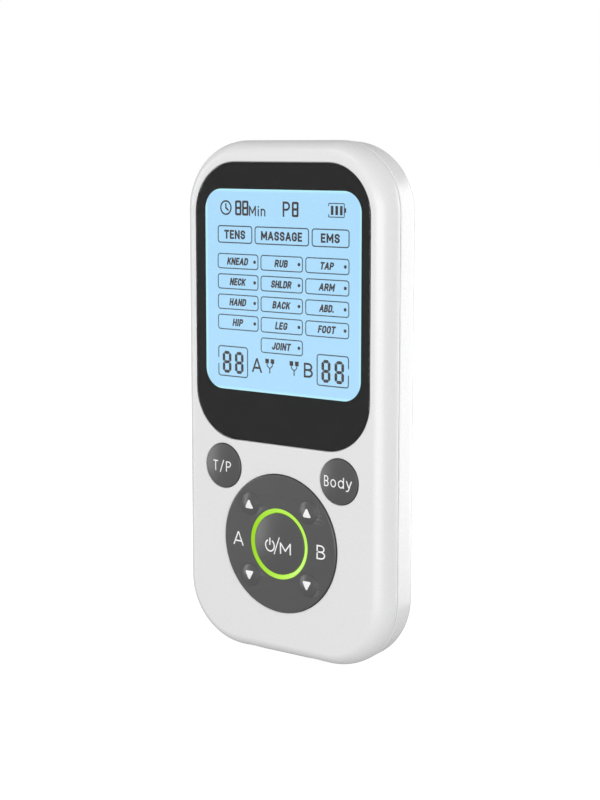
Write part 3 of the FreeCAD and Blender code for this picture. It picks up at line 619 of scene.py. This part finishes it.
class Flat:
    """Flat shapes in X and Z gathered into one thin solid."""

    def __init__(self):
        self.points = []
        self.faces = []
        self.count = 0

    def add(self, points, faces):
        """Keep a shape; its third number puts it a hair above the shapes it crosses."""
        flat = np.asarray(points, float)
        level = np.full(len(flat), len(self.points) % LAYERS * LAYER_STEP)
        self.points.append(np.column_stack([flat, level]))
        self.faces += [tuple(int(i) + self.count for i in face) for face in faces]
        self.count += len(flat)

    def polygon(self, outer, holes=()):
        """A filled outline with holes."""
        rings = [np.asarray(ring, float) for ring in (outer, *holes)]
        self.add(np.concatenate(rings), cover(rings))

    def frame_box(self, left, right, low, high, corner, width, gap=None):
        """A rounded box drawn with one line; gap leaves out part of a side."""
        turns = np.radians(np.linspace(0, 90, BEND_STEPS + 1))
        rings = []
        for inset in (0, width):
            half, bend = (right - left) / 2 - inset, corner - inset
            x0, z0, z1 = (left + right) / 2, low + inset, high - inset
            ring = []
            for sx, z, start in ((1, z1 - bend, 0), (-1, z1 - bend, 90), (-1, z0 + bend, 180),
                                 (1, z0 + bend, 270)):
                round_turn = turns + math.radians(start)
                ring.append(np.stack([x0 + sx * (half - bend) + bend * np.cos(round_turn),
                                      z + bend * np.sin(round_turn)], 1))
            rings.append(np.concatenate(ring))
        count = len(rings[0])
        outer, inner = rings
        skip = None
        if gap:
            side_sign, gap_low, gap_high = gap
            skip = (4 if side_sign > 0 else 2) * (BEND_STEPS + 1) - 1
            edge_x = right if side_sign > 0 else left
            step = -side_sign * width
            for z0, z1 in ((low + corner, gap_low), (gap_high, high - corner)):
                self.add([(edge_x, z0), (edge_x + step, z0), (edge_x + step, z1), (edge_x, z1)],
                         [(0, 1, 2, 3)])
        quads = [(i, (i + 1) % count, count + (i + 1) % count, count + i)
                 for i in range(count) if i != skip]
        self.add(np.concatenate([outer, inner]), quads)

    def stroke(self, points, width, square=False, between=None):
        """A polyline of one width with mitred turns; square ends reach half a width further."""
        line = np.asarray(points, float)
        line = line[np.append(True, np.linalg.norm(np.diff(line, axis=0), axis=1) > 1e-6)]
        step = np.diff(line, axis=0)
        step /= np.linalg.norm(step, axis=1)[:, None]
        if square:
            line[0] -= step[0] * width / 2
            line[-1] += step[-1] * width / 2
        normal = np.stack([-step[:, 1], step[:, 0]], 1)
        joint = np.concatenate([normal[:1], (normal[:-1] + normal[1:]) / 2, normal[-1:]])
        joint /= (joint ** 2).sum(1)[:, None]
        offset = joint * width / 2
        sides = np.concatenate([line - offset, line + offset])
        if between:
            sides[:, 1] = np.clip(sides[:, 1], *between)
        count = len(line)
        quads = [(i, i + 1, count + i + 1, count + i) for i in range(count - 1)]
        self.add(sides, quads)

    def word(self, text, x, low, tall, wide, width, lean=0.0):
        """Drawn letters of one line width: capitals of a height, in a width, leaning right."""
        pen = 0.0
        lines_drawn = []
        for letter in text:
            advance, drawn = GLYPHS[letter]
            lines_drawn += [(np.asarray(line, float) + (pen, 0), letter) for line in drawn]
            pen += advance + LETTER_SPACE
        total = pen - LETTER_SPACE
        along, up = (wide - width) / total, tall - width
        first = len(self.points)
        for line, letter in lines_drawn:
            place = line * (along, up) + (x - wide / 2 + width / 2, low + width / 2)
            between = None if letter in "y/" else (low, low + tall)
            self.stroke(place, width, True, between)
        for block in self.points[first:]:
            block[:, 0] += lean * (block[:, 1] - low - tall / 2)

    def piece(self, name, material, depth, thick, body="case", dome=None):
        """Lay the shapes at a depth, or just over a dome, and give them a thickness."""
        flat = np.concatenate(self.points)
        points = np.column_stack([flat[:, 0], FACE + depth - flat[:, 2], flat[:, 1]]) / 1000
        work = bmesh.new()
        corners = [work.verts.new(point) for point in points]
        for face in self.faces:
            if len(set(face)) > 2:
                made = work.faces.new([corners[i] for i in face])
                if made.calc_area() > 0:
                    made.normal_update()
                    if made.normal.y > 0:
                        made.normal_flip()
        if dome:
            for _ in range(DOME_CUTS):
                long = [line for line in work.edges if line.calc_length() > DOME_STEP / 1000]
                if long:
                    bmesh.ops.subdivide_edges(work, edges=long, cuts=1, use_grid_fill=True)
                    wide = [face for face in work.faces if len(face.verts) > 4]
                    bmesh.ops.triangulate(work, faces=wide)
            spread = np.array([corner.co for corner in work.verts]) * 1000
            for corner, level in zip(work.verts, dome(spread[:, (0, 2)])):
                corner.co.y += level / 1000
        mesh = bpy.data.meshes.new(name)
        work.to_mesh(mesh)
        work.free()
        thing = bpy.data.objects.new(name, mesh)
        scene.collection.objects.link(thing)
        mesh.materials.append(material)
        solid = thing.modifiers.new("thickness", "SOLIDIFY")
        solid.thickness = thick / 1000
        solid.offset = -1
        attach(thing, body)
        return thing


def bow(x, y, across, up, start, end, steps=10):
    """Points along part of an ellipse, between two angles in degrees."""
    turn = np.radians(np.linspace(start, end, steps + 1))
    return [(x + across * math.cos(t), y + up * math.sin(t)) for t in turn]


LETTER_SPACE = 0.36
GLYPHS = {
    "A": (0.62, [[(0, 0), (0.29, 1)], [(0.62, 0), (0.33, 1)], [(0.12, 0.3), (0.5, 0.3)]]),
    "B": (0.5, [[(0, 0.5), (0, 1), *bow(0.24, 0.76, 0.22, 0.24, 90, -90), (0.2, 0.52)],
                [(0, 0.5), (0, 0), *bow(0.25, 0.26, 0.25, 0.26, -90, 90), (0, 0.52)]]),
    "C": (0.5, [[*bow(0.25, 0.72, 0.25, 0.28, 8, 180), *bow(0.25, 0.28, 0.25, 0.28, 180, 352)]]),
    "D": (0.52, [[(0, 0.5), (0, 1), *bow(0.22, 0.7, 0.3, 0.3, 90, 0),
                  *bow(0.22, 0.3, 0.3, 0.3, 0, -90), (0, 0), (0, 0.5)]]),
    "E": (0.42, [[(0.42, 1), (0, 1), (0, 0), (0.42, 0)], [(0, 0.51), (0.36, 0.51)]]),
    "F": (0.42, [[(0.42, 1), (0, 1), (0, 0)], [(0, 0.5), (0.35, 0.5)]]),
    "G": (0.52, [[*bow(0.26, 0.72, 0.26, 0.28, 12, 180), *bow(0.26, 0.28, 0.26, 0.28, 180, 360),
                  (0.52, 0.44), (0.36, 0.44)]]),
    "H": (0.52, [[(0, 0), (0, 1)], [(0.52, 0), (0.52, 1)], [(0, 0.5), (0.52, 0.5)]]),
    "I": (0.02, [[(0.01, 0), (0.01, 1)]]),
    "J": (0.4, [[(0.4, 1), *bow(0.2, 0.24, 0.2, 0.24, 0, -172)]]),
    "K": (0.52, [[(0, 0), (0, 1)], [(0.5, 1), (0.03, 0.4)], [(0.2, 0.6), (0.52, 0)]]),
    "L": (0.4, [[(0, 1), (0, 0), (0.4, 0)]]),
    "M": (0.72, [[(0, 0), (0, 1)], [(0.72, 0), (0.72, 1)], [(0.02, 1), (0.36, 0.28)],
                 [(0.7, 1), (0.36, 0.28)]]),
    "N": (0.54, [[(0, 0), (0, 1)], [(0.54, 0), (0.54, 1)], [(0.02, 1), (0.52, 0)]]),
    "O": (0.54, [[(0, 0.5), *bow(0.27, 0.7, 0.27, 0.3, 180, 0), *bow(0.27, 0.3, 0.27, 0.3, 0, -180),
                  (0, 0.5)]]),
    "P": (0.5, [[(0, 0), (0, 1), *bow(0.24, 0.73, 0.26, 0.27, 90, -90), (0, 0.46)]]),
    "R": (0.54, [[(0, 0), (0, 1), *bow(0.26, 0.73, 0.26, 0.27, 90, -90), (0, 0.46)],
                 [(0.28, 0.46), (0.54, 0)]]),
    "S": (0.5, [[*bow(0.25, 0.75, 0.25, 0.25, 12, 270), *bow(0.25, 0.25, 0.25, 0.25, 90, -168)]]),
    "T": (0.52, [[(0, 1), (0.52, 1)], [(0.26, 1), (0.26, 0)]]),
    "U": (0.52, [[(0, 1), *bow(0.26, 0.27, 0.26, 0.27, 180, 360), (0.52, 1)]]),
    ".": (0.02, [[(0.01, 0), (0.01, 0.02)]]),
    "/": (0.42, [[(0, -0.12), (0.42, 1.1)]]),
    "i": (0.02, [[(0.01, 0), (0.01, 0.66)], [(0.01, 0.97), (0.01, 1)]]),
    "n": (0.44, [[(0, 0), (0, 0.7)], [(0, 0.4), *bow(0.22, 0.45, 0.22, 0.25, 170, 0), (0.44, 0)]]),
    "o": (0.6, [bow(0.3, 0.36, 0.3, 0.36, 90, 450, 28)]),
    "d": (0.6, [bow(0.3, 0.36, 0.3, 0.36, 90, 450, 28), [(0.6, 0), (0.6, 1)]]),
    "y": (0.54, [[(0, 0.72), (0.28, 0.02)],
                 [(0.54, 0.72), (0.24, -0.12), (0.14, -0.26), (-0.02, -0.28)]]),
}


def bar(x0, z0, x1, z1, width):
    """One segment of a figure: a bar with pointed ends, as a hexagon."""
    start, end = np.array([x0, z0]), np.array([x1, z1])
    along = (end - start) / np.linalg.norm(end - start)
    across = np.array([-along[1], along[0]]) * width / 2
    tip = along * width / 2
    return [start, start + tip + across, end - tip + across,
            end, end - tip - across, start + tip - across]


def figure(sheet, left, right, low, high, width, gap):
    """An eight of seven bars whose centre lines run half a bar inside the box."""
    x0, x1, z0, z1 = left + width / 2, right - width / 2, low + width / 2, high - width / 2
    waist = (z0 + z1) / 2
    for z in (z0, waist, z1):
        sheet.polygon(bar(x0 + gap, z, x1 - gap, z, width))
    for x in (x0, x1):
        for a, b in ((z0, waist), (waist, z1)):
            sheet.polygon(bar(x, a + gap, x, b - gap, width))


def rounded_eight(sheet, left, low, wide, high, width, bend=0.42):
    """A condensed eight drawn as two rounded loops that share their waist."""
    waist = (low + high) / 2
    for z0, z1 in ((low, waist + width / 2), (waist - width / 2, high)):
        sheet.frame_box(left, left + wide, z0, z1, bend, width)


def oblong(sheet, left, right, low, high):
    """A filled rectangle."""
    sheet.polygon([(left, low), (right, low), (right, high), (left, high)])


dark = Flat()
lines = Flat()

# top row: clock, minutes, programme and battery
CLOCK_X, CLOCK_Z, CLOCK_R, CLOCK_LINE = -15.55, 100.4, 1.65, 0.36
clock_rings = [circle(CLOCK_X, CLOCK_Z, radius, 40) for radius in (CLOCK_R, CLOCK_R - CLOCK_LINE)]
dark.polygon(clock_rings[0], clock_rings[1:])
dark.stroke([(CLOCK_X, CLOCK_Z + 0.95), (CLOCK_X, CLOCK_Z - 0.05),
             (CLOCK_X + 0.75, CLOCK_Z - 0.6)], 0.38)
EIGHT_WIDE, EIGHT_LOW, EIGHT_HIGH, EIGHT_LINE = 1.8, 98.75, 102.05, 0.5
for left in (-12.9, -10.9):
    rounded_eight(dark, left, EIGHT_LOW, EIGHT_WIDE, EIGHT_HIGH, EIGHT_LINE)
dark.word("Min", -6.65, 98.7, 2.25, 4.6, 0.33)
dark.word("P", 1.45, EIGHT_LOW, 3.3, 2.05, 0.46)
rounded_eight(dark, 2.95, EIGHT_LOW, EIGHT_WIDE, EIGHT_HIGH, EIGHT_LINE)
lines.frame_box(12.7, 17.0, 98.9, 102.0, 0.25, 0.22, gap=(-1, 99.6, 101.3))
oblong(dark, 17.0, 17.38, 100.0, 100.95)
for x in (13.72, 14.92, 16.12):
    oblong(dark, x - 0.34, x + 0.34, 99.45, 101.4)

# the three treatment modes, then the thirteen body parts and strokes, each in its box
BOX_CORNER = 0.75
TEXT_SHIFT = -0.05
MODE_LOW, MODE_HIGH = 92.55, 96.5
MODES = (("TENS", -17.95, -8.05, 6.0), ("MASSAGE", -7.4, 7.6, 11.3), ("EMS", 8.3, 18.3, 5.0))
for text, left, right, wide in MODES:
    lines.frame_box(left, right, MODE_LOW, MODE_HIGH, BOX_CORNER, 0.27)
    dark.word(text, (left + right) / 2 + TEXT_SHIFT, 93.5, 2.0, wide, 0.43)

COLUMNS = ((-18.0, -6.35), (-5.75, 5.95), (6.6, 18.3))
ROW_TOP, ROW_PITCH, ROW_TALL = 90.3, 4.55, 3.45
ROWS = (("KNEAD", "RUB", "TAP"), ("NECK", "SHLDR", "ARM"), ("HAND", "BACK", "ABD."),
        ("HIP", "LEG", "FOOT"), (None, "JOINT", None))
WIDTHS = {"KNEAD": 5.9, "RUB": 3.6, "TAP": 3.6, "NECK": 4.4, "SHLDR": 5.6, "ARM": 4.1, "HAND": 4.7,
          "BACK": 4.8, "ABD.": 3.9, "HIP": 2.9, "LEG": 3.3, "FOOT": 4.6, "JOINT": 5.1}
LEAN = 0.2
for row, words in enumerate(ROWS):
    high = ROW_TOP - row * ROW_PITCH
    level = high - ROW_TALL / 2
    for (left, right), text in zip(COLUMNS, words):
        if text:
            lines.frame_box(left, right, high - ROW_TALL, high, BOX_CORNER, 0.24)
            dark.word(text, (left + right) / 2 + TEXT_SHIFT, level - 0.83, 1.66, WIDTHS[text], 0.37,
                      LEAN)
            dark.polygon(circle(right - 1.07, level, 0.38, 16))

# the two strengths, their channel letters and the pads' symbols
STRENGTH_LOW, STRENGTH_HIGH = 62.6, 69.55
for left, right, sign in ((-18.0, -9.4, -1), (9.7, 18.3, 1)):
    lines.frame_box(left, right, STRENGTH_LOW, STRENGTH_HIGH, BOX_CORNER, 0.26, gap=(sign, 65.4, 66.8))
for left, right in ((-16.7, -14.2), (-13.15, -10.7), (11.0, 13.4), (14.5, 17.0)):
    figure(dark, left, right, 63.4, 68.35, 0.7, 0.06)
dark.word("A", -6.85, 64.1, 3.25, 2.8, 0.46)
dark.word("B", 7.45, 64.1, 3.25, 2.45, 0.46)
for x in (-3.22, 3.55):
    for side_x in (-0.75, 0.75):
        oblong(dark, x + side_x - 0.5, x + side_x + 0.5, 66.4, 67.4)
    dark.stroke([(x - 0.75, 66.4), (x - 0.7, 65.85), (x, 65.25), (x + 0.7, 65.85),
                 (x + 0.75, 66.4)], 0.24)
    dark.stroke([(x, 65.3), (x, 64.2)], 0.28)



def segment_ink(name, base, shine):
    """Switched-on crystal: nearly black, with the backlight leaking through a little."""
    finish = Finish(name, Roughness=0.8, Specular_IOR_Level=0.0, Emission_Strength=1.0)
    finish.set("Base Color", finish.mix(finish.noise(400), *base))
    finish.set("Emission Color", finish.mix(finish.noise(350), *shine))
    return finish


segment_black = segment_ink("segment_black", (grey(0.004), grey(0.008)),
                            (srgb(30, 14, 14), srgb(36, 20, 20)))
segment_grey = segment_ink("segment_grey", (grey(0.01), grey(0.02)),
                           (srgb(40, 58, 72), srgb(50, 68, 82)))
for sheet, name, finish in ((dark, "display_figures", segment_black),
                            (lines, "display_boxes", segment_grey)):
    segments = sheet.piece(name, finish.material, SEGMENT_DEPTH, SEGMENT_THICK)

# ---- Key pad -------------------------------------------------------------------------
# A dark grey satin disc let into the face, a little proud of it, with a softened edge and
# four round holes for the arrow keys. The letters A and B are printed on it.

key_grey = moulded("key_grey", grey(0.088), 0.34, 0.000008, 0.05)
PAD_STAND, PAD_EDGE, PAD_EDGE_DEEP = 0.4, 0.3, 0.26
PAD_BACK = PAD_HIGH[1] - FACE
PAD_STEP = WALL + 0.05
RING_LOW, RING_HIGH = span("light_ring")
RING_INNER, RING_OUTER = 7.1, 7.97
RING_HOLE = RING_OUTER + 0.05
HOLE_EDGE = 0.02
ARROWS = {name: middle(name) for name in
          ("arrow_key_a_up", "arrow_key_b_up", "arrow_key_a_down", "arrow_key_b_down")}
ARROW_RADIUS, ARROW_HOLE = 2.55, 2.58

pad = Skin()
pad_outline = round_hole(PAD_X, PAD_Z, PAD_RADIUS)
pad_edge = quarter(PAD_EDGE, -PAD_STAND, 0, PAD_EDGE_DEEP - PAD_STAND, 6)
pad.strip(pad_outline, pad_edge + [(0, PAD_STEP), (-PAD_FLANGE, PAD_STEP), (-PAD_FLANGE, PAD_BACK)])
ring_hole = round_hole(PAD_X, PAD_Z, RING_HOLE)
pad.strip(ring_hole, [(0, -PAD_STAND), (0, PAD_BACK)])
arrow_holes = [round_hole(x, z, ARROW_HOLE) for x, z in ARROWS.values()]
hole_edge = quarter(-HOLE_EDGE, -PAD_STAND, 0, HOLE_EDGE - PAD_STAND, 3)
for hole in arrow_holes:
    pad.strip(hole, hole_edge + [(0, PAD_BACK)])
pad.fill(-PAD_STAND, pad_outline(PAD_EDGE),
         [ring_hole(0)] + [hole(-HOLE_EDGE) for hole in arrow_holes])
pad.fill(PAD_BACK, pad_outline(-PAD_FLANGE), [ring_hole(0)] + [hole(0) for hole in arrow_holes])
pad_skin = pad.piece("pad_skin", key_grey.material)
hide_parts("pad_disc")

legend_white = Finish("legend_white", Roughness=0.5)
legend_white.set("Base Color", legend_white.mix(legend_white.noise(500), grey(0.9), grey(0.96)))
pad_letters = Flat()
pad_letters.word("A", -11.6, 24.4, 3.2, 2.9, 0.34)
pad_letters.word("B", 11.65, 24.4, 3.2, 2.35, 0.34)
legend = pad_letters.piece("pad_letters", legend_white.material, -PAD_STAND - 0.02, 0.03)

# ---- Light ring ----------------------------------------------------------------------
# A translucent lime light pipe stands round the middle key and glows from four LEDs
# behind it. Its face slopes inwards, and its right side is painted paler: a painted highlight.

RING_FRONT, RING_INNER_FRONT, RING_BACK = RING_LOW[1] - FACE, -0.26, RING_HIGH[1] - FACE
RING_FLANGE, RING_STEP = RING_OUTER + 0.4, PAD_BACK + 0.02

ring = Skin()
ring_profile = [(RING_INNER, RING_BACK), (RING_INNER, RING_INNER_FRONT + 0.1),
                (RING_INNER + 0.05, RING_INNER_FRONT), (RING_OUTER - 0.12, RING_FRONT),
                (RING_OUTER - 0.03, RING_FRONT + 0.04), (RING_OUTER, RING_FRONT + 0.14),
                (RING_OUTER, RING_STEP), (RING_FLANGE, RING_STEP),
                (RING_FLANGE, RING_BACK), (RING_INNER, RING_BACK)]
ring.strip(lambda radius: circle(PAD_X, PAD_Z, radius, 128), ring_profile)
lime = Finish("lime_light", Roughness=0.3, Emission_Strength=1.0)
# painted highlight: the ring's glow and colour are painted paler towards its right side
painted_highlight_right = (lime.axis(0) * 110 + 0.9).clamp()
lime.set("Emission Color", lime.mix(painted_highlight_right, srgb(148, 208, 0), srgb(178, 236, 70)))
lime.set("Base Color", lime.mix(painted_highlight_right, (0.03, 0.05, 0, 1), (0.05, 0.07, 0.02, 1)))
lime.bump(lime.noise(2500, 2), 0.000006)
ring_skin = ring.piece("ring_skin", lime.material, 25)
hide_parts("light_ring")

# ---- Keys ----------------------------------------------------------------------------
# Each key is a domed cap turned about its own axis, with a softened edge, a flange that
# keeps it in and a stem that rests on its switch. Legends are printed on the domes.


KEY_SHOWN = 0.03
AXIS_HOLE = 0.02
FLANGE_THICK = 0.45
STEM_RADIUS, STEM_MARGIN = 1.8, 0.4
POWER_FLANGE_DEEP, ARROW_FLANGE_DEEP, SIDE_FLANGE_DEEP = 2.95, 2.5, 1.7
LEGEND_LIFT, LEGEND_THICK = -0.02, 0.05


def dome_depth(apex, radius, rise, x0, z0):
    """Depth of a spherical cap at points: its apex plus the sagitta at each distance."""
    ball = (radius ** 2 + rise ** 2) / (2 * rise)

    def depth(points):
        away = np.hypot(points[:, 0] - x0, points[:, 1] - z0)
        return apex + ball - np.sqrt(ball ** 2 - away ** 2)
    return depth


def key_cap(node, radius, rise, edge, flange_deep, body):
    """Turn a cap's profile (dome, rounded edge, side, flange, stem) round the key's axis."""
    low, high = span(node)
    x, z = middle(node)
    apex = low[1] - FACE + KEY_SHOWN
    back = high[1] - FACE
    depth = dome_depth(apex, radius, rise, x, z)
    distance = np.linspace(AXIS_HOLE, radius - edge, 14)
    line = [(r, float(depth(np.array([[x + r, z]]))[0])) for r in distance]
    shoulder = line[-1][1]
    line += [(radius - edge + edge * u, shoulder + edge * v) for u, v in quarter(0, 0, 1, 1)[1:]]
    flange = (high[0] - low[0]) / 2
    flange_back = flange_deep + FLANGE_THICK
    stem = min(STEM_RADIUS, radius - STEM_MARGIN)
    line += [(radius, flange_deep), (flange, flange_deep), (flange, flange_back),
             (stem, flange_back), (stem, back), (AXIS_HOLE, back)]
    steps = 96 if radius > 3 else 48
    cap = Skin()
    cap.strip(lambda r: circle(x, z, r, steps), line)
    for end in (apex, back):
        cap.fill(end, circle(x, z, AXIS_HOLE, steps))
    skin = cap.piece(node + "_cap", key_grey.material, 30, body)
    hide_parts(node)
    return depth


power_dome = key_cap("power_key", 6.95, 0.66, 0.1, POWER_FLANGE_DEEP, "power_button")
POWER_X, POWER_Z, POWER_R, POWER_LINE = -2.15, 25.75, 1.29, 0.34
power_legend = Flat()
power_legend.stroke(bow(POWER_X, POWER_Z, POWER_R, POWER_R, 118, 422, 39), POWER_LINE)
power_legend.stroke([(POWER_X, POWER_Z + 0.1), (POWER_X, POWER_Z + 1.75)], POWER_LINE)
power_legend.stroke([(-0.95, 23.9), (0.55, 27.9)], 0.26)
power_legend.word("M", 2.2, 24.25, 2.6, 2.95, 0.33)
legend = power_legend.piece("power_legend", legend_white.material, LEGEND_LIFT, LEGEND_THICK,
                            "power_button", power_dome)


def rounded_triangle(x, z, wide, tall, corner, sign):
    """A triangle pointing up or down: the hull of three circles at its inset corners."""
    slope = math.atan2(tall, wide / 2)
    foot = corner / math.tan(slope / 2)
    right_turn, left_turn = 90 - math.degrees(slope), 90 + math.degrees(slope)
    centres = ((wide / 2 - foot, corner - tall / 2, -90, right_turn),
               (0, tall / 2 - corner / math.cos(slope), right_turn, left_turn),
               (foot - wide / 2, corner - tall / 2, left_turn, 270))
    outline = [point for cx, cz, start, end in centres
               for point in bow(cx, cz, corner, corner, start, end, BEND_STEPS)]
    return np.array(outline) * (1, sign) + (x, z)


ARROW_BODIES = {"arrow_key_a_up": "arrow_a_up_button", "arrow_key_b_up": "arrow_b_up_button",
                "arrow_key_a_down": "arrow_a_down_button", "arrow_key_b_down": "arrow_b_down_button"}
for node, body in ARROW_BODIES.items():
    dome = key_cap(node, ARROW_RADIUS, 0.55, 0.03, ARROW_FLANGE_DEEP, body)
    x, z = ARROWS[node]
    sign = 1 if node.endswith("up") else -1
    mark = Flat()
    mark.polygon(rounded_triangle(x, z + 0.1 * sign, 2.5, 2.25, 0.28, sign))
    legend = mark.piece(node + "_mark", legend_white.material, LEGEND_LIFT, LEGEND_THICK, body, dome)

for node, text, wide, body in (("program_key", "T/P", 5.2, "program_button"),
                               ("body_key", "Body", 7.4, "body_part_button")):
    dome = key_cap(node, SIDE_RADIUS, 0.5, 0.14, SIDE_FLANGE_DEEP, body)
    x, z = middle(node)
    mark = Flat()
    mark.word(text, x, z - 1.2, 2.4, wide, 0.26)
    legend = mark.piece(node + "_legend", legend_white.material, LEGEND_LIFT, LEGEND_THICK, body,
                        dome)

# ---- Inner and lower parts -----------------------------------------------------------
# Parts whose CAD shape is right keep it and get their real finish: laminate, tinned
# metal, black mouldings, foil, ferrite, wire and the nickel-plated screws.


def dress(finish, *names):
    """Give CAD nodes a finish."""
    for name in names:
        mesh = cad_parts[name].data
        mesh.materials.clear()
        mesh.materials.append(finish.material)


black_moulding = moulded("black_moulding", grey(0.03), 0.45, 0.000010, 0.1)
dress(black_moulding, "output_jack_a", "output_jack_b", "switch_bodies", "buzzer", "controller_chip",
      "driver_chips", "window_tape", "lcd_contact_strip", "battery_tape")
nylon = moulded("natural_nylon", (0.82, 0.81, 0.76, 1), 0.5, 0.000010, 0.04)
dress(nylon, "lcd_frame", "battery_connector", "power_plunger", "program_plunger", "body_plunger",
      "arrow_a_up_plunger", "arrow_b_up_plunger", "arrow_a_down_plunger", "arrow_b_down_plunger")
guide = moulded("light_guide", (0.85, 0.92, 1.0, 1), 0.2, 0.000004, 0.02)
dress(guide, "lcd_backlight", "backlight_reflector", "ring_leds")

laminate = Finish("green_laminate", Coat_Weight=0.5, Coat_Roughness=0.15)
weave = laminate.node("ShaderNodeTexWave", {"wave_type": "BANDS", "bands_direction": "X"},
                      {"Vector": laminate.place, "Scale": 900.0, "Distortion": 1.5})
laminate.set("Base Color", laminate.mix(weave, (0.012, 0.14, 0.05, 1), (0.02, 0.20, 0.08, 1)))
laminate.set("Roughness", 0.35 + 0.1 * weave)
dress(laminate, "main_board")


def metal(name, tone, roughness):
    """Plated metal: fine rolling lines and a slight mottle."""
    finish = Finish(name, Metallic=1.0)
    rolled = finish.noise(1800, 3, 0.6, (1, 1, 0.12))
    darker = tuple(channel * 0.82 for channel in tone[:3]) + (1,)
    finish.set("Base Color", finish.mix(rolled, darker, tone))
    finish.set("Roughness", roughness - 0.06 + 0.14 * rolled)
    finish.bump(rolled, 0.000006)
    return finish


dress(metal("tinned", (0.72, 0.71, 0.68, 1), 0.32), "charging_socket", "charging_tongue",
      "jack_terminals", "crystal", "capacitors")
dress(metal("nickel", (0.62, 0.60, 0.55, 1), 0.28), "case_screws", "board_screws")
dress(metal("pouch_foil", (0.75, 0.76, 0.78, 1), 0.4), "battery_cell")
dress(metal("label_foil", (0.5, 0.51, 0.53, 1), 0.62), "rating_label")
ferrite = moulded("ferrite", grey(0.06), 0.6, 0.000015, 0.2)
dress(ferrite, "output_transformer_a", "output_transformer_b", "boost_inductor")
dress(moulded("red_insulation", (0.45, 0.03, 0.02, 1), 0.45, 0.000006, 0.1), "battery_leads")
